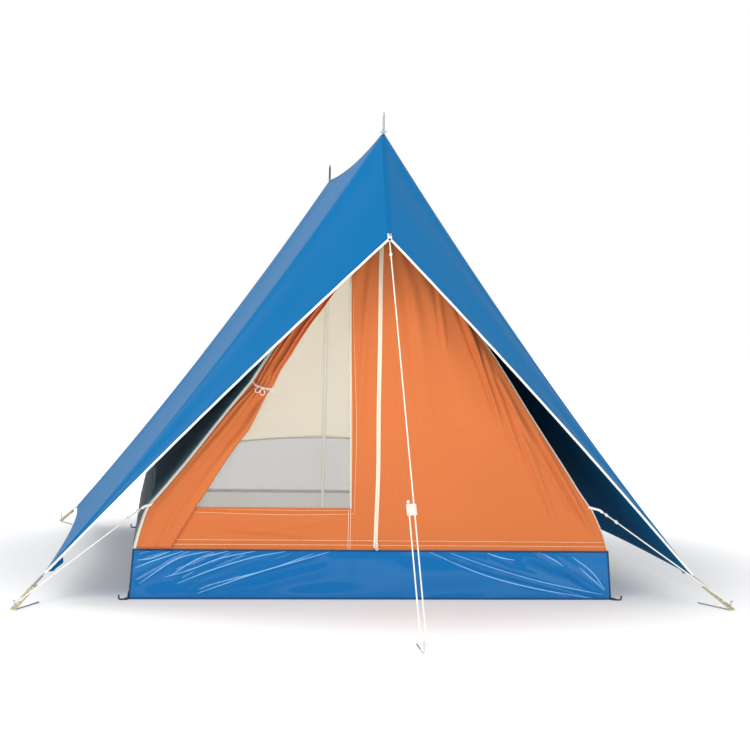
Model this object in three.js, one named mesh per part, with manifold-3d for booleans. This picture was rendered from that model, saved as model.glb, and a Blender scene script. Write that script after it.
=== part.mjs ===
import * as THREE from "three";
import { mergeVertices } from "three/addons/utils/BufferGeometryUtils.js";
import Module from "manifold-3d";

const wasm = await Module();
wasm.setup();

// A two-pole ridge tent, in millimetres. X runs to the right, the doors face -Y and Z is up.
// The origin is on the ground, under the middle of the floor.

// Cloth, clearances and cuts that the whole tent shares.
const clothThickness = 2;
const fitGap = 0.3;
const cutOverrun = 30;
const weldDistance = 0.001;
const seamHalfGap = clothThickness / 2 + fitGap / 2;
const foldGap = clothThickness / 2 + fitGap;

// Groundsheet tub.
const floorWidth = 1800;
const innerLength = 2040;
const tubHeight = 183;
const tubLean = 12;
const tubSheet = 2;

// Inner tent.
const leafTopHeight = 1411;
const peakPatchHeight = 89;
const innerRidgeHeight = leafTopHeight + peakPatchHeight;
const kneeWidth = 1700;
const kneeHeight = 339;
const kneeDrawIn = 25;
const innerRidgeSag = 25;
const innerEdgeSag = 6;
const innerBelly = 18;

// Poles.
const poleInset = 45;
const poleDiameter = 16;
const poleWall = 1;
const poleSplitHeight = 900;
const spigotLength = 40;
const spigotClearance = 0.4;
const shoulderDrop = 24;
const shoulderTaper = 10;
const spikeDiameter = 9.2;
const spikeLength = 60;
const spikeTipLength = 18;
const spikeTipDiameter = 3;
const footHeight = 18;
const footDiameter = 30;
const footTopDiameter = 22;
const footSocketDepth = 10;
const poleFit = 0.4;
const grommetClearance = 0.5;

// Flysheet.
const flyRidgeGap = 230;
const flyPeakHeight = innerRidgeHeight + flyRidgeGap;
const flyRidgeSag = 25;
const flyHemWidth = 2406;
const flyHemLength = 2180;
const flyCornerHeight = 97;
const flyEdgeSag = 28;
const flyBelly = 20;
const hemDrawIn = 40;
const hemRise = 35;
const hoodReach = 235;
const hoodDrop = 401;
const hoodSwell = 13;
const hoodCornerWidth = 8;
const pipingDiameter = 8;
const pipingStart = 20;
const pipingEnd = 12;
const gussetSheet = 2;
const gussetStart = 20;
const gussetLength = 72;
const gussetDepth = 80;
const gussetInset = 2;

// Hood rings and the front guy line.
const ringDiameter = 14;
const ringWire = 4;
const guyLineDiameter = 4.5;
const guyStrandSpacing = 18;
const guyPegReach = 829;
const guyPegSide = 22;
const guyEyeHeight = 21;
const runnerHeight = 420;
const runnerLength = 36;
const runnerDepth = 13;
const runnerRim = 4;
const runnerBoreClearance = 0.8;
const pulloutDiameter = 5;

// Corner fastenings: a link, a rubber ladder and a wire peg at each corner of the flysheet.
const pegOut = 83;
const pegAhead = 180;
const pegGripHeight = 14;
const linkThickness = 2.5;
const linkWidth = 9;
const linkStart = 4.2;
const linkLength = 72;
const linkPinDiameter = 5;
const ladderWidth = 20;
const ladderThickness = 5;
const ladderRail = 5;
const ladderRung = 6;
const ladderEndBar = 6;
const ladderSlots = 7;
const pegWire = 6;
const pegBend = 6;
const cornerPegLength = 170;
const cornerPegRise = 36;
const pegTipLength = 9;
const guyPegLength = 150;
const guyPegRise = 40;
const tubPegLength = 150;
const tubPegSpread = 32;
const tubPegOverhang = 12;
const tubPegRise = 16;
const groundGap = 0.2;

// Front and rear walls.
const bindingWidth = 14;
const bindingSheet = 2.4;
const leafInset = 10;
const leafHalfSlit = 3.2;
const windowPostWidth = 92;
const windowLeanShare = 0.0237;
const windowSill = 150;
const windowEdgeMargin = 62;
const meshSheet = 1.2;
const ventHalfWidth = 620;
const ventSill = 17;
const ventSideHeight = 200;
const ventCrown = 56;
const ventSteps = 16;

// Slide fastener on the free edges of the door leaves.
const zipStart = 6;
const zipTopMargin = 70;
const zipHalfGap = 0.2;
const zipTeethWidth = 2.8;
const zipTeethDepth = 2.8;
const zipTapeWidth = 8;
const zipTapeSheet = 1.2;
const sliderWidth = 9;
const sliderHeight = 16;
const sliderFace = 2.4;
const earLength = 5.8;
const earThickness = 1.4;
const earHeight = 7;
const earSpacing = 4.6;
const earPinInset = 2.2;
const pullPinDiameter = 2.4;
const pullPinFit = 0.4;
const pullEyeWall = 1.2;
const pullNeckStart = 4.5;
const pullNeckLength = 7.5;
const pullNeckWidth = 5;
const pullRingDiameter = 12;
const pullRingHole = 6.4;
const pullThickness = 2.4;

// Gathered window cover, tied beside the window.
const coverGap = 0.4;
const coverSheet = 2.2;
const coverBodyDepth = 5;
const coverFoldDepth = 15;
const coverBundleDepth = 17;
const coverWidth = 172;
const coverWidthShares = [0.41, 0.62, 0.62, 0.68, 0.72, 0.84, 0.9, 0.93, 1, 0.96, 0.69];
const coverFolds = 3;
const coverOuterInset = 9;
const coverFootGap = 5;
const coverTopDrop = 221;
const coverRowsAbove = 9;
const coverRowsBelow = 14;
const tieHeight = 778;
const tieBundleWidth = 84;
const tieReach = 95;
const tieStrapWidth = 9;
const tieStrapSheet = 1.6;
const tieStrapGap = 3;

// Sizes worked out from the ones above.
const poleRadius = poleDiameter / 2;
const innerHalf = innerLength / 2;
const poleY = innerHalf - poleInset;
const tubTopHalfWidth = floorWidth / 2 - tubLean;
const roofEndY = innerHalf - bindingSheet - fitGap;
const hemHalfLength = flyHemLength / 2;
const hemHalfWidth = flyHemWidth / 2;
const hoodTipY = poleY + hoodReach;
const hoodTipHeight = flyPeakHeight - hoodDrop;
const coverTopHeight = leafTopHeight - coverTopDrop;

const arch = (t) => 4 * t * (1 - t);
const vec = (x, y, z) => new THREE.Vector3(x, y, z);
const between = (a, b, t) => new THREE.Vector3().lerpVectors(a, b, t);
const mix = THREE.MathUtils.lerp;

// Geometry with shared corners, without empty triangles and with its faces outwards.
function closed(geometry) {
  const bare = new THREE.BufferGeometry();
  bare.setAttribute("position", geometry.getAttribute("position").clone());
  if (geometry.index) bare.setIndex(geometry.index.clone());
  const merged = mergeVertices(bare, weldDistance);
  const spots = merged.getAttribute("position");
  const corners = merged.index.array;
  const kept = [];
  const a = new THREE.Vector3();
  const b = new THREE.Vector3();
  const c = new THREE.Vector3();
  let volume = 0;
  for (let i = 0; i < corners.length; i += 3) {
    const [p, q, r] = [corners[i], corners[i + 1], corners[i + 2]];
    if (p === q || q === r || r === p) continue;
    kept.push(p, q, r);
    a.fromBufferAttribute(spots, p);
    b.fromBufferAttribute(spots, q);
    c.fromBufferAttribute(spots, r);
    volume += a.dot(b.cross(c));
  }
  if (volume < 0) kept.reverse();
  merged.setIndex(kept);
  return merged;
}

function solidOf(geometry) {
  const shape = closed(geometry);
  const vertProperties = new Float32Array(shape.getAttribute("position").array);
  const triVerts = new Uint32Array(shape.index.array);
  return new wasm.Manifold(new wasm.Mesh({ numProp: 3, vertProperties, triVerts }));
}

function geometryOf(solid) {
  const mesh = solid.getMesh();
  const geometry = new THREE.BufferGeometry();
  geometry.setAttribute("position", new THREE.Float32BufferAttribute(mesh.vertProperties, 3));
  geometry.setIndex(Array.from(mesh.triVerts));
  return geometry;
}

function cutAway(geometry, ...tools) {
  return geometryOf(tools.reduce((solid, tool) => solid.subtract(solidOf(tool)), solidOf(geometry)));
}

function joined(geometry, ...others) {
  return geometryOf(others.reduce((solid, other) => solid.add(solidOf(other)), solidOf(geometry)));
}

// The direction square to a surface at one place.
function surfaceNormal(surface, u, v) {
  const step = 0.001;
  const alongU = surface(Math.min(u + step, 1), v).sub(surface(Math.max(u - step, 0), v));
  const alongV = surface(u, Math.min(v + step, 1)).sub(surface(u, Math.max(v - step, 0)));
  return alongU.cross(alongV).normalize();
}

// The skin between two grids of points, with walls round its border.
function skin(front, back, columns, rows) {
  const width = columns + 1;
  const corner = (side, column, row) => side * width * (rows + 1) + row * width + column;
  const triangles = [];
  const quad = (a, b, c, d) => triangles.push(a, b, c, a, c, d);
  for (let row = 0; row < rows; row += 1) {
    for (let column = 0; column < columns; column += 1) {
      quad(corner(0, column, row), corner(0, column + 1, row),
        corner(0, column + 1, row + 1), corner(0, column, row + 1));
      quad(corner(1, column, row), corner(1, column, row + 1),
        corner(1, column + 1, row + 1), corner(1, column + 1, row));
    }
  }
  for (let column = 0; column < columns; column += 1) {
    quad(corner(0, column + 1, 0), corner(0, column, 0), corner(1, column, 0), corner(1, column + 1, 0));
    quad(corner(0, column, rows), corner(0, column + 1, rows),
      corner(1, column + 1, rows), corner(1, column, rows));
  }
  for (let row = 0; row < rows; row += 1) {
    quad(corner(0, 0, row), corner(0, 0, row + 1), corner(1, 0, row + 1), corner(1, 0, row));
    quad(corner(0, columns, row + 1), corner(0, columns, row),
      corner(1, columns, row), corner(1, columns, row + 1));
  }
  const geometry = new THREE.BufferGeometry();
  const points = [...front, ...back].flatMap((point) => point.toArray());
  geometry.setAttribute("position", new THREE.Float32BufferAttribute(points, 3));
  geometry.setIndex(triangles);
  return geometry;
}

function gridPoints(columns, rows, place) {
  const points = [];
  for (let row = 0; row <= rows; row += 1) {
    for (let column = 0; column <= columns; column += 1) points.push(place(column / columns, row / rows));
  }
  return points;
}

// Cloth of even thickness, half of it on each side of surface(u, v).
function sheet(surface, columns, rows, thickness) {
  const side = (sign) => gridPoints(columns, rows, (u, v) => (
    surface(u, v).addScaledVector(surfaceNormal(surface, u, v), sign * thickness / 2)));
  return closed(skin(side(1), side(-1), columns, rows));
}

function outlineShape(points) {
  return new THREE.Shape(points.map(([x, y]) => new THREE.Vector2(x, y)));
}

// A flat upright plate between backY and frontY, with its outline and holes given as [x, z].
function plate(outline, holes, backY, frontY) {
  const shape = outlineShape(outline);
  holes.forEach((hole) => shape.holes.push(new THREE.Path(hole.map(([x, z]) => new THREE.Vector2(x, z)))));
  const geometry = new THREE.ExtrudeGeometry(shape, { depth: Math.abs(backY - frontY), bevelEnabled: false });
  geometry.rotateX(Math.PI / 2);
  geometry.translate(0, Math.max(backY, frontY), 0);
  return geometry;
}

// A bar of even section [x, y] that stands from one height to another.
function bar(section, fromZ, toZ) {
  const settings = { depth: toZ - fromZ, bevelEnabled: false };
  const geometry = new THREE.ExtrudeGeometry(outlineShape(section), settings);
  geometry.translate(0, 0, fromZ);
  return geometry;
}

// A solid turned about Z from a profile of [radius, height].
function turned(profile, segments) {
  const points = profile.map(([radius, height]) => new THREE.Vector2(radius, height));
  const geometry = new THREE.LatheGeometry(points, segments);
  geometry.rotateX(Math.PI / 2);
  return geometry;
}

// A path that goes through chosen points, with one ring of a tube at each of them.
class Route extends THREE.Curve {
  constructor(points) {
    super();
    this.points = points;
  }

  getPoint(t, target = new THREE.Vector3()) {
    const place = t * (this.points.length - 1);
    const start = Math.min(Math.floor(place), this.points.length - 2);
    return target.lerpVectors(this.points[start], this.points[start + 1], place - start);
  }

  getPointAt(t, target) {
    return this.getPoint(t, target);
  }

  getTangentAt(t, target = new THREE.Vector3()) {
    const last = this.points.length - 1;
    const place = Math.round(t * last);
    const before = this.points[Math.max(place - 1, 0)];
    const here = this.points[place];
    const after = this.points[Math.min(place + 1, last)];
    const incoming = here.clone().sub(before).normalize();
    const outgoing = after.clone().sub(here).normalize();
    return target.copy(incoming).add(outgoing).normalize();
  }
}

function roundSection(radius, sides) {
  const points = [];
  for (let i = 0; i < sides; i += 1) {
    const angle = 2 * Math.PI * i / sides;
    points.push([radius * Math.cos(angle), radius * Math.sin(angle)]);
  }
  return outlineShape(points);
}

function tube(points, diameter, sides) {
  const settings = { steps: points.length - 1, bevelEnabled: false, extrudePath: new Route(points) };
  return new THREE.ExtrudeGeometry(roundSection(diameter / 2, sides), settings);
}

// The points of a wire that runs straight between corners and bends round each of them.
function bentWire(corners, bend, steps) {
  const points = [corners[0]];
  for (let i = 1; i < corners.length - 1; i += 1) {
    const corner = corners[i];
    const back = corners[i - 1].clone().sub(corner);
    const ahead = corners[i + 1].clone().sub(corner);
    const reach = Math.min(bend, back.length() / 2, ahead.length() / 2);
    const start = corner.clone().addScaledVector(back.normalize(), reach);
    const end = corner.clone().addScaledVector(ahead.normalize(), reach);
    points.push(...new THREE.QuadraticBezierCurve3(start, corner, end).getPoints(steps));
  }
  points.push(corners[corners.length - 1]);
  return points;
}

function upright(diameter, fromZ, toZ, x, y, sides) {
  const geometry = new THREE.CylinderGeometry(diameter / 2, diameter / 2, toZ - fromZ, sides);
  geometry.rotateX(Math.PI / 2);
  geometry.translate(x, y, (fromZ + toZ) / 2);
  return geometry;
}

// Finishes of the pieces.
const finish = (color, roughness, metalness = 0) => () => (
  new THREE.MeshStandardMaterial({ color, roughness, metalness }));
const blueCloth = finish(0x0a76bc, 0.8);
const orangeCloth = finish(0xec8449, 0.85);
const creamCloth = finish(0xe8dcc4, 0.85);
const blueVinyl = finish(0x0a69b4, 0.25);
const greyNet = finish(0xc8c8c8, 0.9);
const whiteTape = finish(0xfaf6e6, 0.7);
const whiteCord = finish(0xf2efe6, 0.8);
const clearRubber = finish(0xd9cf9a, 0.5);
const steelWire = finish(0xc4c8cc, 0.35, 1);
const darkWire = finish(0x4a4f55, 0.45, 1);
const poleMetal = finish(0xd6d9dc, 0.3, 1);
const whitePlastic = finish(0xf4f2ea, 0.5);
const blackRubber = finish(0x2a2c2e, 0.7);

const tent = new THREE.Group();
tent.name = "ridge_tent";

function addPiece(parent, name, geometry, makeMaterial) {
  const piece = new THREE.Mesh(closed(geometry), makeMaterial());
  piece.name = name;
  parent.add(piece);
  return piece;
}

function addGroup(parent, x, y, z) {
  const group = new THREE.Group();
  group.position.set(x, y, z);
  parent.add(group);
  return group;
}

const sides = [["left", -1], ["right", 1]];
const ends = [["front", -1], ["rear", 1]];

// Groundsheet: a shallow tub of coated cloth whose walls lean in a little.
function frustum(bottomHalfX, bottomHalfY, topHalfX, topHalfY, fromZ, toZ) {
  const ring = (x, y, z) => [[-x, -y, z], [x, -y, z], [x, y, z], [-x, y, z]];
  const points = [...ring(bottomHalfX, bottomHalfY, fromZ), ...ring(topHalfX, topHalfY, toZ)];
  const geometry = new THREE.BufferGeometry();
  geometry.setAttribute("position", new THREE.Float32BufferAttribute(points.flat(), 3));
  geometry.setIndex([0, 2, 1, 0, 3, 2, 4, 5, 6, 4, 6, 7, 0, 1, 5, 0, 5, 4,
    1, 2, 6, 1, 6, 5, 2, 3, 7, 2, 7, 6, 3, 0, 4, 3, 4, 7]);
  return geometry;
}

function groundsheetTub() {
  const halfLength = innerHalf + tubLean;
  const outer = frustum(floorWidth / 2, halfLength, tubTopHalfWidth, innerHalf, 0, tubHeight);
  const lean = tubLean / tubHeight;
  const inside = (half, height) => half - tubSheet - lean * height;
  const top = tubHeight + cutOverrun;
  const hollow = frustum(inside(floorWidth / 2, tubSheet), inside(halfLength, tubSheet),
    inside(floorWidth / 2, top), inside(halfLength, top), tubSheet, top);
  return cutAway(outer, hollow);
}

addPiece(tent, "groundsheet_tub", groundsheetTub(), blueVinyl);

// Poles: a rubber foot, a tube and a spiked upper length that plugs into it.
function poleFoot() {
  const socket = poleRadius + poleFit;
  const floor = footHeight - footSocketDepth;
  return turned([[0, 0], [footDiameter / 2, 0], [footTopDiameter / 2, footHeight],
    [socket, footHeight], [socket, floor], [0, floor]], 16);
}

function poleLower(fromZ) {
  const bore = poleRadius - poleWall;
  return turned([[bore, fromZ], [poleRadius, fromZ], [poleRadius, poleSplitHeight],
    [bore, poleSplitHeight], [bore, fromZ]], 16);
}

function poleUpper() {
  const spigot = poleRadius - poleWall - spigotClearance;
  const shoulder = flyPeakHeight - shoulderDrop;
  const spikeTop = flyPeakHeight + spikeLength;
  return turned([[0, poleSplitHeight - spigotLength], [spigot, poleSplitHeight - spigotLength],
    [spigot, poleSplitHeight + fitGap], [poleRadius, poleSplitHeight + fitGap],
    [poleRadius, shoulder], [spikeDiameter / 2, shoulder + shoulderTaper],
    [spikeDiameter / 2, spikeTop], [spikeTipDiameter / 2, spikeTop + spikeTipLength],
    [0, spikeTop + spikeTipLength]], 16);
}

const footBase = tubSheet + fitGap;
ends.forEach(([end, sign]) => {
  const pole = addGroup(tent, 0, sign * poleY, 0);
  const foot = addPiece(pole, `${end}_pole_foot`, poleFoot(), blackRubber);
  foot.position.z = footBase;
  addPiece(pole, `${end}_pole_lower`, poleLower(footBase + footHeight - footSocketDepth + fitGap), poleMetal);
  addPiece(pole, `${end}_pole_upper`, poleUpper(), poleMetal);
});

// Inner tent: two roof panels and two low walls, with holes where the poles pass the ridge.
const roofRun = Math.hypot(kneeWidth / 2, innerRidgeHeight - kneeHeight);
const roofDown = vec(kneeWidth / 2, 0, kneeHeight - innerRidgeHeight).divideScalar(roofRun);
const roofOut = vec(-roofDown.z, 0, roofDown.x);

// The right half of the inner roof; v runs from the ridge down to the knee line.
function innerRoofPoint(u, v) {
  const y = mix(-roofEndY, roofEndY, u);
  const ridge = vec(seamHalfGap, y, innerRidgeHeight - innerRidgeSag * arch(u));
  const knee = vec(kneeWidth / 2 - kneeDrawIn * arch(u), y, kneeHeight);
  const sag = arch(v) * (innerEdgeSag + innerBelly * arch(u));
  return between(ridge, knee, v).addScaledVector(roofOut, -sag);
}

function innerWallPoint(u, v) {
  const y = mix(-roofEndY, roofEndY, u);
  const knee = vec(kneeWidth / 2 - kneeDrawIn * arch(u), y, kneeHeight);
  const foot = vec(tubTopHalfWidth - tubSheet / 2, y, tubHeight + 2 * fitGap);
  const start = foldGap / knee.distanceTo(foot);
  return between(knee, foot, mix(start, 1, v));
}

const mirrored = (surface, sign) => (u, v) => surface(u, v).multiply(vec(sign, 1, 1));

sides.forEach(([side, sign]) => {
  const holes = ends.map(([, end]) => (
    upright(poleDiameter + 4 * fitGap, innerRidgeHeight - 2 * cutOverrun, innerRidgeHeight + cutOverrun,
      0, end * poleY, 16)));
  const roof = sheet(mirrored(innerRoofPoint, sign), 10, 8, clothThickness);
  addPiece(tent, `inner_roof_${side}`, cutAway(roof, ...holes), creamCloth);
  const wall = sheet(mirrored(innerWallPoint, sign), 10, 1, clothThickness);
  addPiece(tent, `inner_wall_${side}`, wall, creamCloth);
});

// The outline of the front and rear walls, from the ridge round the right-hand side.
const wallFootX = tubTopHalfWidth - fitGap;
const wallFootHeight = tubHeight + fitGap;
const wallDown = vec(wallFootX - kneeWidth / 2, 0, wallFootHeight - kneeHeight).normalize();

// Where the outline's corners move to when it is drawn in by a distance.
function insetOutline(distance, footHeight) {
  const peakDrop = distance / roofDown.x;
  const kneeNormal = vec(-wallDown.z, 0, wallDown.x);
  const halfTurn = roofOut.clone().add(kneeNormal);
  const shift = -2 * distance / halfTurn.lengthSq();
  const knee = vec(kneeWidth / 2, 0, kneeHeight).addScaledVector(halfTurn, shift);
  const footShift = (knee.z - footHeight) / -wallDown.z;
  return {
    peak: [0, innerRidgeHeight - peakDrop],
    knee: [knee.x, knee.z],
    foot: [knee.x + wallDown.x * footShift, footHeight],
  };
}

// Where the drawn-in slanted edge is at one height.
function slantX(distance, height) {
  const { peak } = insetOutline(distance, wallFootHeight);
  return (peak[1] - height) * roofDown.x / -roofDown.z;
}

const mirrorOutline = (points, sign) => points.map(([x, z]) => [sign * x, z]);

// Bindings round the front opening, and a patch over the peak.
const bindingBack = -innerHalf + bindingSheet;
const leafBack = -innerHalf - fitGap;
const leafFront = leafBack - clothThickness;

sides.forEach(([side, sign]) => {
  const outer = insetOutline(0, wallFootHeight);
  const inner = insetOutline(bindingWidth, wallFootHeight);
  const top = [fitGap / 2, outer.peak[1] - fitGap];
  const innerTop = [fitGap / 2, inner.peak[1]];
  const outline = [top, outer.knee, outer.foot, inner.foot, inner.knee, innerTop];
  const strip = plate(mirrorOutline(outline, sign), [], bindingBack, -innerHalf);
  addPiece(tent, `front_binding_${side}`, strip, creamCloth);
});

const patchFoot = leafTopHeight + clothThickness;
const patchHalfWidth = slantX(0, patchFoot);
addPiece(tent, "front_peak_patch", plate([[-patchHalfWidth, patchFoot], [patchHalfWidth, patchFoot],
  [0, innerRidgeHeight]], [], leafBack, leafFront), orangeCloth);

// Rear wall with its arched vent net.
function ventOutline(margin) {
  const foot = wallFootHeight + ventSill - margin;
  const half = ventHalfWidth + margin;
  const points = [[-half, foot], [half, foot]];
  for (let i = 0; i <= ventSteps; i += 1) {
    const share = i / ventSteps;
    const crown = wallFootHeight + ventSill + ventSideHeight + ventCrown * arch(share) + margin;
    points.push([mix(half, -half, share), crown]);
  }
  return points;
}

const rearWallFront = roofEndY + fitGap;
const rearWallBack = rearWallFront + clothThickness;
const rearOutline = insetOutline(0, wallFootHeight);
addPiece(tent, "rear_wall", plate([rearOutline.peak, rearOutline.knee, rearOutline.foot,
  ...mirrorOutline([rearOutline.foot, rearOutline.knee], -1)], [ventOutline(0)],
rearWallBack, rearWallFront), creamCloth);
addPiece(tent, "rear_window_mesh", plate(ventOutline(-fitGap), [],
  rearWallFront + meshSheet, rearWallFront), greyNet);

// Door leaves. The left one has a window beside its free edge.
const leafFoot = wallFootHeight + fitGap;
const leafEdge = insetOutline(leafInset, leafFoot);
const leafTopX = slantX(leafInset, leafTopHeight);
const leafOutline = [[leafHalfSlit, leafFoot], leafEdge.foot, leafEdge.knee,
  [leafTopX, leafTopHeight], [leafHalfSlit, leafTopHeight]];

// The window is a triangle; a margin draws all three of its sides inwards.
function windowOutline(margin) {
  const sill = leafFoot + windowSill;
  const post = leafHalfSlit + windowPostWidth;
  const inset = leafInset + windowEdgeMargin;
  const slope = roofDown.x / -roofDown.z;
  const peak = insetOutline(inset, leafFoot).peak[1];
  const topHeight = (slope * peak - post + windowLeanShare * sill) / (slope + windowLeanShare);
  const corners = [[post, sill], [slope * (peak - topHeight), topHeight], [slope * (peak - sill), sill]]
    .map(([x, z]) => new THREE.Vector2(-x, z));
  const lengths = corners.map((_, i) => corners[(i + 1) % 3].distanceTo(corners[(i + 2) % 3]));
  const perimeter = lengths.reduce((sum, length) => sum + length);
  const middle = new THREE.Vector2();
  corners.forEach((corner, i) => middle.addScaledVector(corner, lengths[i] / perimeter));
  const area = Math.abs(corners[1].clone().sub(corners[0]).cross(corners[2].clone().sub(corners[0]))) / 2;
  const shrink = 1 - margin * perimeter / (2 * area);
  return corners.map((corner) => corner.clone().sub(middle).multiplyScalar(shrink).add(middle).toArray());
}

addPiece(tent, "door_left", plate(mirrorOutline(leafOutline, -1), [windowOutline(0)],
  leafBack, leafFront), orangeCloth);
addPiece(tent, "door_right", plate(leafOutline, [], leafBack, leafFront), orangeCloth);
const meshFront = leafFront + (clothThickness - meshSheet) / 2;
addPiece(tent, "window_mesh", plate(windowOutline(fitGap), [], meshFront + meshSheet, meshFront), greyNet);

// Slide fastener: a toothed tape on each leaf, a slider on the right one and its pull.
const zipBack = leafFront - fitGap;
const tapeFront = zipBack - zipTapeSheet;
const teethFront = zipBack - zipTeethDepth;
const teethSide = zipHalfGap + zipTeethWidth;
const tapeSection = [[zipHalfGap, teethFront], [teethSide, teethFront], [teethSide, tapeFront],
  [zipHalfGap + zipTapeWidth, tapeFront], [zipHalfGap + zipTapeWidth, zipBack], [zipHalfGap, zipBack]];
const zipFoot = leafFoot + zipStart;
const zipTop = leafTopHeight - zipTopMargin;
sides.forEach(([side, sign]) => {
  const section = tapeSection.map(([x, y]) => [sign * x, y]);
  addPiece(tent, `zip_tape_${side}`, bar(section, zipFoot, zipTop), whiteTape);
});

// A bar of section [y, z] that runs from one x to another.
function crossBar(shape, fromX, toX) {
  const geometry = new THREE.ExtrudeGeometry(shape, { depth: toX - fromX, bevelEnabled: false });
  geometry.applyMatrix4(new THREE.Matrix4().makeBasis(vec(0, 1, 0), vec(0, 0, 1), vec(1, 0, 0)));
  geometry.translate(fromX, 0, 0);
  return geometry;
}

function ringShape(outerRadius, holeRadius, segments) {
  const shape = roundSection(outerRadius, segments);
  shape.holes.push(new THREE.Path(roundSection(holeRadius, segments).getPoints()));
  return shape;
}

const sliderBack = teethFront - fitGap;
const sliderFront = sliderBack - sliderFace;
const sliderSide = zipHalfGap + sliderWidth;
const sliderMiddle = (zipHalfGap + sliderSide) / 2;
const sliderFoot = zipFoot + zipStart;
const earMiddle = sliderFoot + sliderHeight - earHeight;
const pinY = sliderFront - earLength + earPinInset;

function zipSlider() {
  const lip = teethSide + fitGap;
  const body = bar([[zipHalfGap, sliderFront], [sliderSide, sliderFront], [sliderSide, tapeFront - fitGap],
    [lip, tapeFront - fitGap], [lip, sliderBack], [zipHalfGap, sliderBack]],
  sliderFoot, sliderFoot + sliderHeight);
  const earRoot = sliderFront + sliderFace / 2;
  const earTip = sliderFront - earLength;
  const ear = outlineShape([[earTip, earMiddle - earHeight / 2], [earRoot, earMiddle - earHeight / 2],
    [earRoot, earMiddle + earHeight / 2], [earTip, earMiddle + earHeight / 2]]);
  const ears = [-1, 1].map((sign) => {
    const middle = sliderMiddle + sign * earSpacing / 2;
    return crossBar(ear, middle - earThickness / 2, middle + earThickness / 2);
  });
  const pin = new THREE.CylinderGeometry(pullPinDiameter / 2, pullPinDiameter / 2, earSpacing, 10);
  pin.rotateZ(Math.PI / 2);
  pin.translate(sliderMiddle, pinY, earMiddle);
  return joined(body, ...ears, pin);
}

// The pull hangs from the pin: an eye, a neck and a ring for the finger.
function zipPull() {
  const hole = pullPinDiameter / 2 + pullPinFit;
  const eyeWidth = earSpacing - earThickness - 2 * fitGap;
  const eye = crossBar(ringShape(hole + pullEyeWall, hole, 12), -eyeWidth / 2, eyeWidth / 2);
  const stemTop = -(hole + pullEyeWall / 2);
  const neckFoot = -(pullNeckStart + pullNeckLength);
  const half = pullThickness / 2;
  const stem = plate([[-eyeWidth / 2, stemTop], [eyeWidth / 2, stemTop],
    [eyeWidth / 2, -pullNeckStart - half], [-eyeWidth / 2, -pullNeckStart - half]], [], half, -half);
  const neck = plate([[-pullNeckWidth / 2, -pullNeckStart], [pullNeckWidth / 2, -pullNeckStart],
    [pullNeckWidth / 2, neckFoot], [-pullNeckWidth / 2, neckFoot]], [], half, -half);
  const ring = new THREE.ExtrudeGeometry(ringShape(pullRingDiameter / 2, pullRingHole / 2, 14),
    { depth: pullThickness, bevelEnabled: false });
  ring.rotateX(Math.PI / 2);
  ring.translate(0, half, neckFoot - pullRingHole / 2 - half / 2);
  return joined(eye, stem, neck, ring);
}

addPiece(tent, "zip_slider", zipSlider(), poleMetal);
const pull = addPiece(tent, "zip_pull", zipPull(), poleMetal);
pull.position.set(sliderMiddle, pinY, earMiddle);

// Window cover: cloth drawn to the slanted side of the left leaf and tied at one height.
const coverBack = leafFront - coverGap;
const coverFoot = leafFoot + coverFootGap;
const coverEdge = insetOutline(leafInset + coverOuterInset, coverFoot);

function coverPlace(v) {
  const height = mix(coverTopHeight, coverFoot, v);
  const aboveKnee = slantX(leafInset + coverOuterInset, height);
  const belowKnee = coverEdge.knee[0] + (coverEdge.knee[1] - height) * wallDown.x / -wallDown.z;
  const place = v * (coverWidthShares.length - 1);
  const step = Math.min(Math.floor(place), coverWidthShares.length - 2);
  const width = coverWidth * mix(coverWidthShares[step], coverWidthShares[step + 1], place - step);
  const tied = Math.exp(-(((height - tieHeight) / tieReach) ** 2));
  const outer = Math.min(aboveKnee, belowKnee);
  return { height, tied, inner: outer - width, width: mix(width, Math.min(width, tieBundleWidth), tied) };
}

function coverDepth(s, v, tied) {
  const rim = Math.sqrt(Math.max(1 - (2 * s - 1) ** 2, 0));
  const wave = 0.5 - 0.5 * Math.cos(2 * Math.PI * coverFolds * s + Math.PI * v);
  const loose = coverBodyDepth + coverFoldDepth * wave * Math.sqrt(v);
  return coverSheet + rim * mix(loose, coverBundleDepth, tied);
}

// The rows of the cover's grid, with one on each side of the tie.
function coverRows() {
  const share = (height) => (coverTopHeight - height) / (coverTopHeight - coverFoot);
  const above = share(tieHeight + tieStrapWidth);
  const below = share(tieHeight - tieStrapWidth);
  const rows = [];
  for (let i = 0; i <= coverRowsAbove; i += 1) rows.push(mix(0, above, i / coverRowsAbove));
  for (let i = 0; i <= coverRowsBelow; i += 1) rows.push(mix(below, 1, i / coverRowsBelow));
  return rows;
}

function windowCover() {
  const columns = 16;
  const shares = coverRows();
  const rows = shares.length - 1;
  const place = (lift) => (s, rowShare) => {
    const v = shares[Math.round(rowShare * rows)];
    const row = coverPlace(v);
    return vec(-(row.inner + s * row.width), coverBack - lift * coverDepth(s, v, row.tied), row.height);
  };
  return skin(gridPoints(columns, rows, place(1)), gridPoints(columns, rows, place(0)), columns, rows);
}

addPiece(tent, "window_flap", windowCover(), orangeCloth);

function coverTie() {
  const strap = (u, v) => {
    const height = tieHeight + mix(-tieStrapWidth / 2, tieStrapWidth / 2, v);
    const row = coverPlace((coverTopHeight - height) / (coverTopHeight - coverFoot));
    const reach = row.width / 2 + tieStrapGap;
    const depth = coverSheet + coverBundleDepth + tieStrapGap;
    const angle = Math.PI * u;
    return vec(-(row.inner + row.width / 2 + reach * Math.cos(angle)),
      coverBack - depth * Math.sin(angle), height);
  };
  return sheet(strap, 14, 2, tieStrapSheet);
}

addPiece(tent, "flap_tie", coverTie(), whiteTape);

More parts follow.
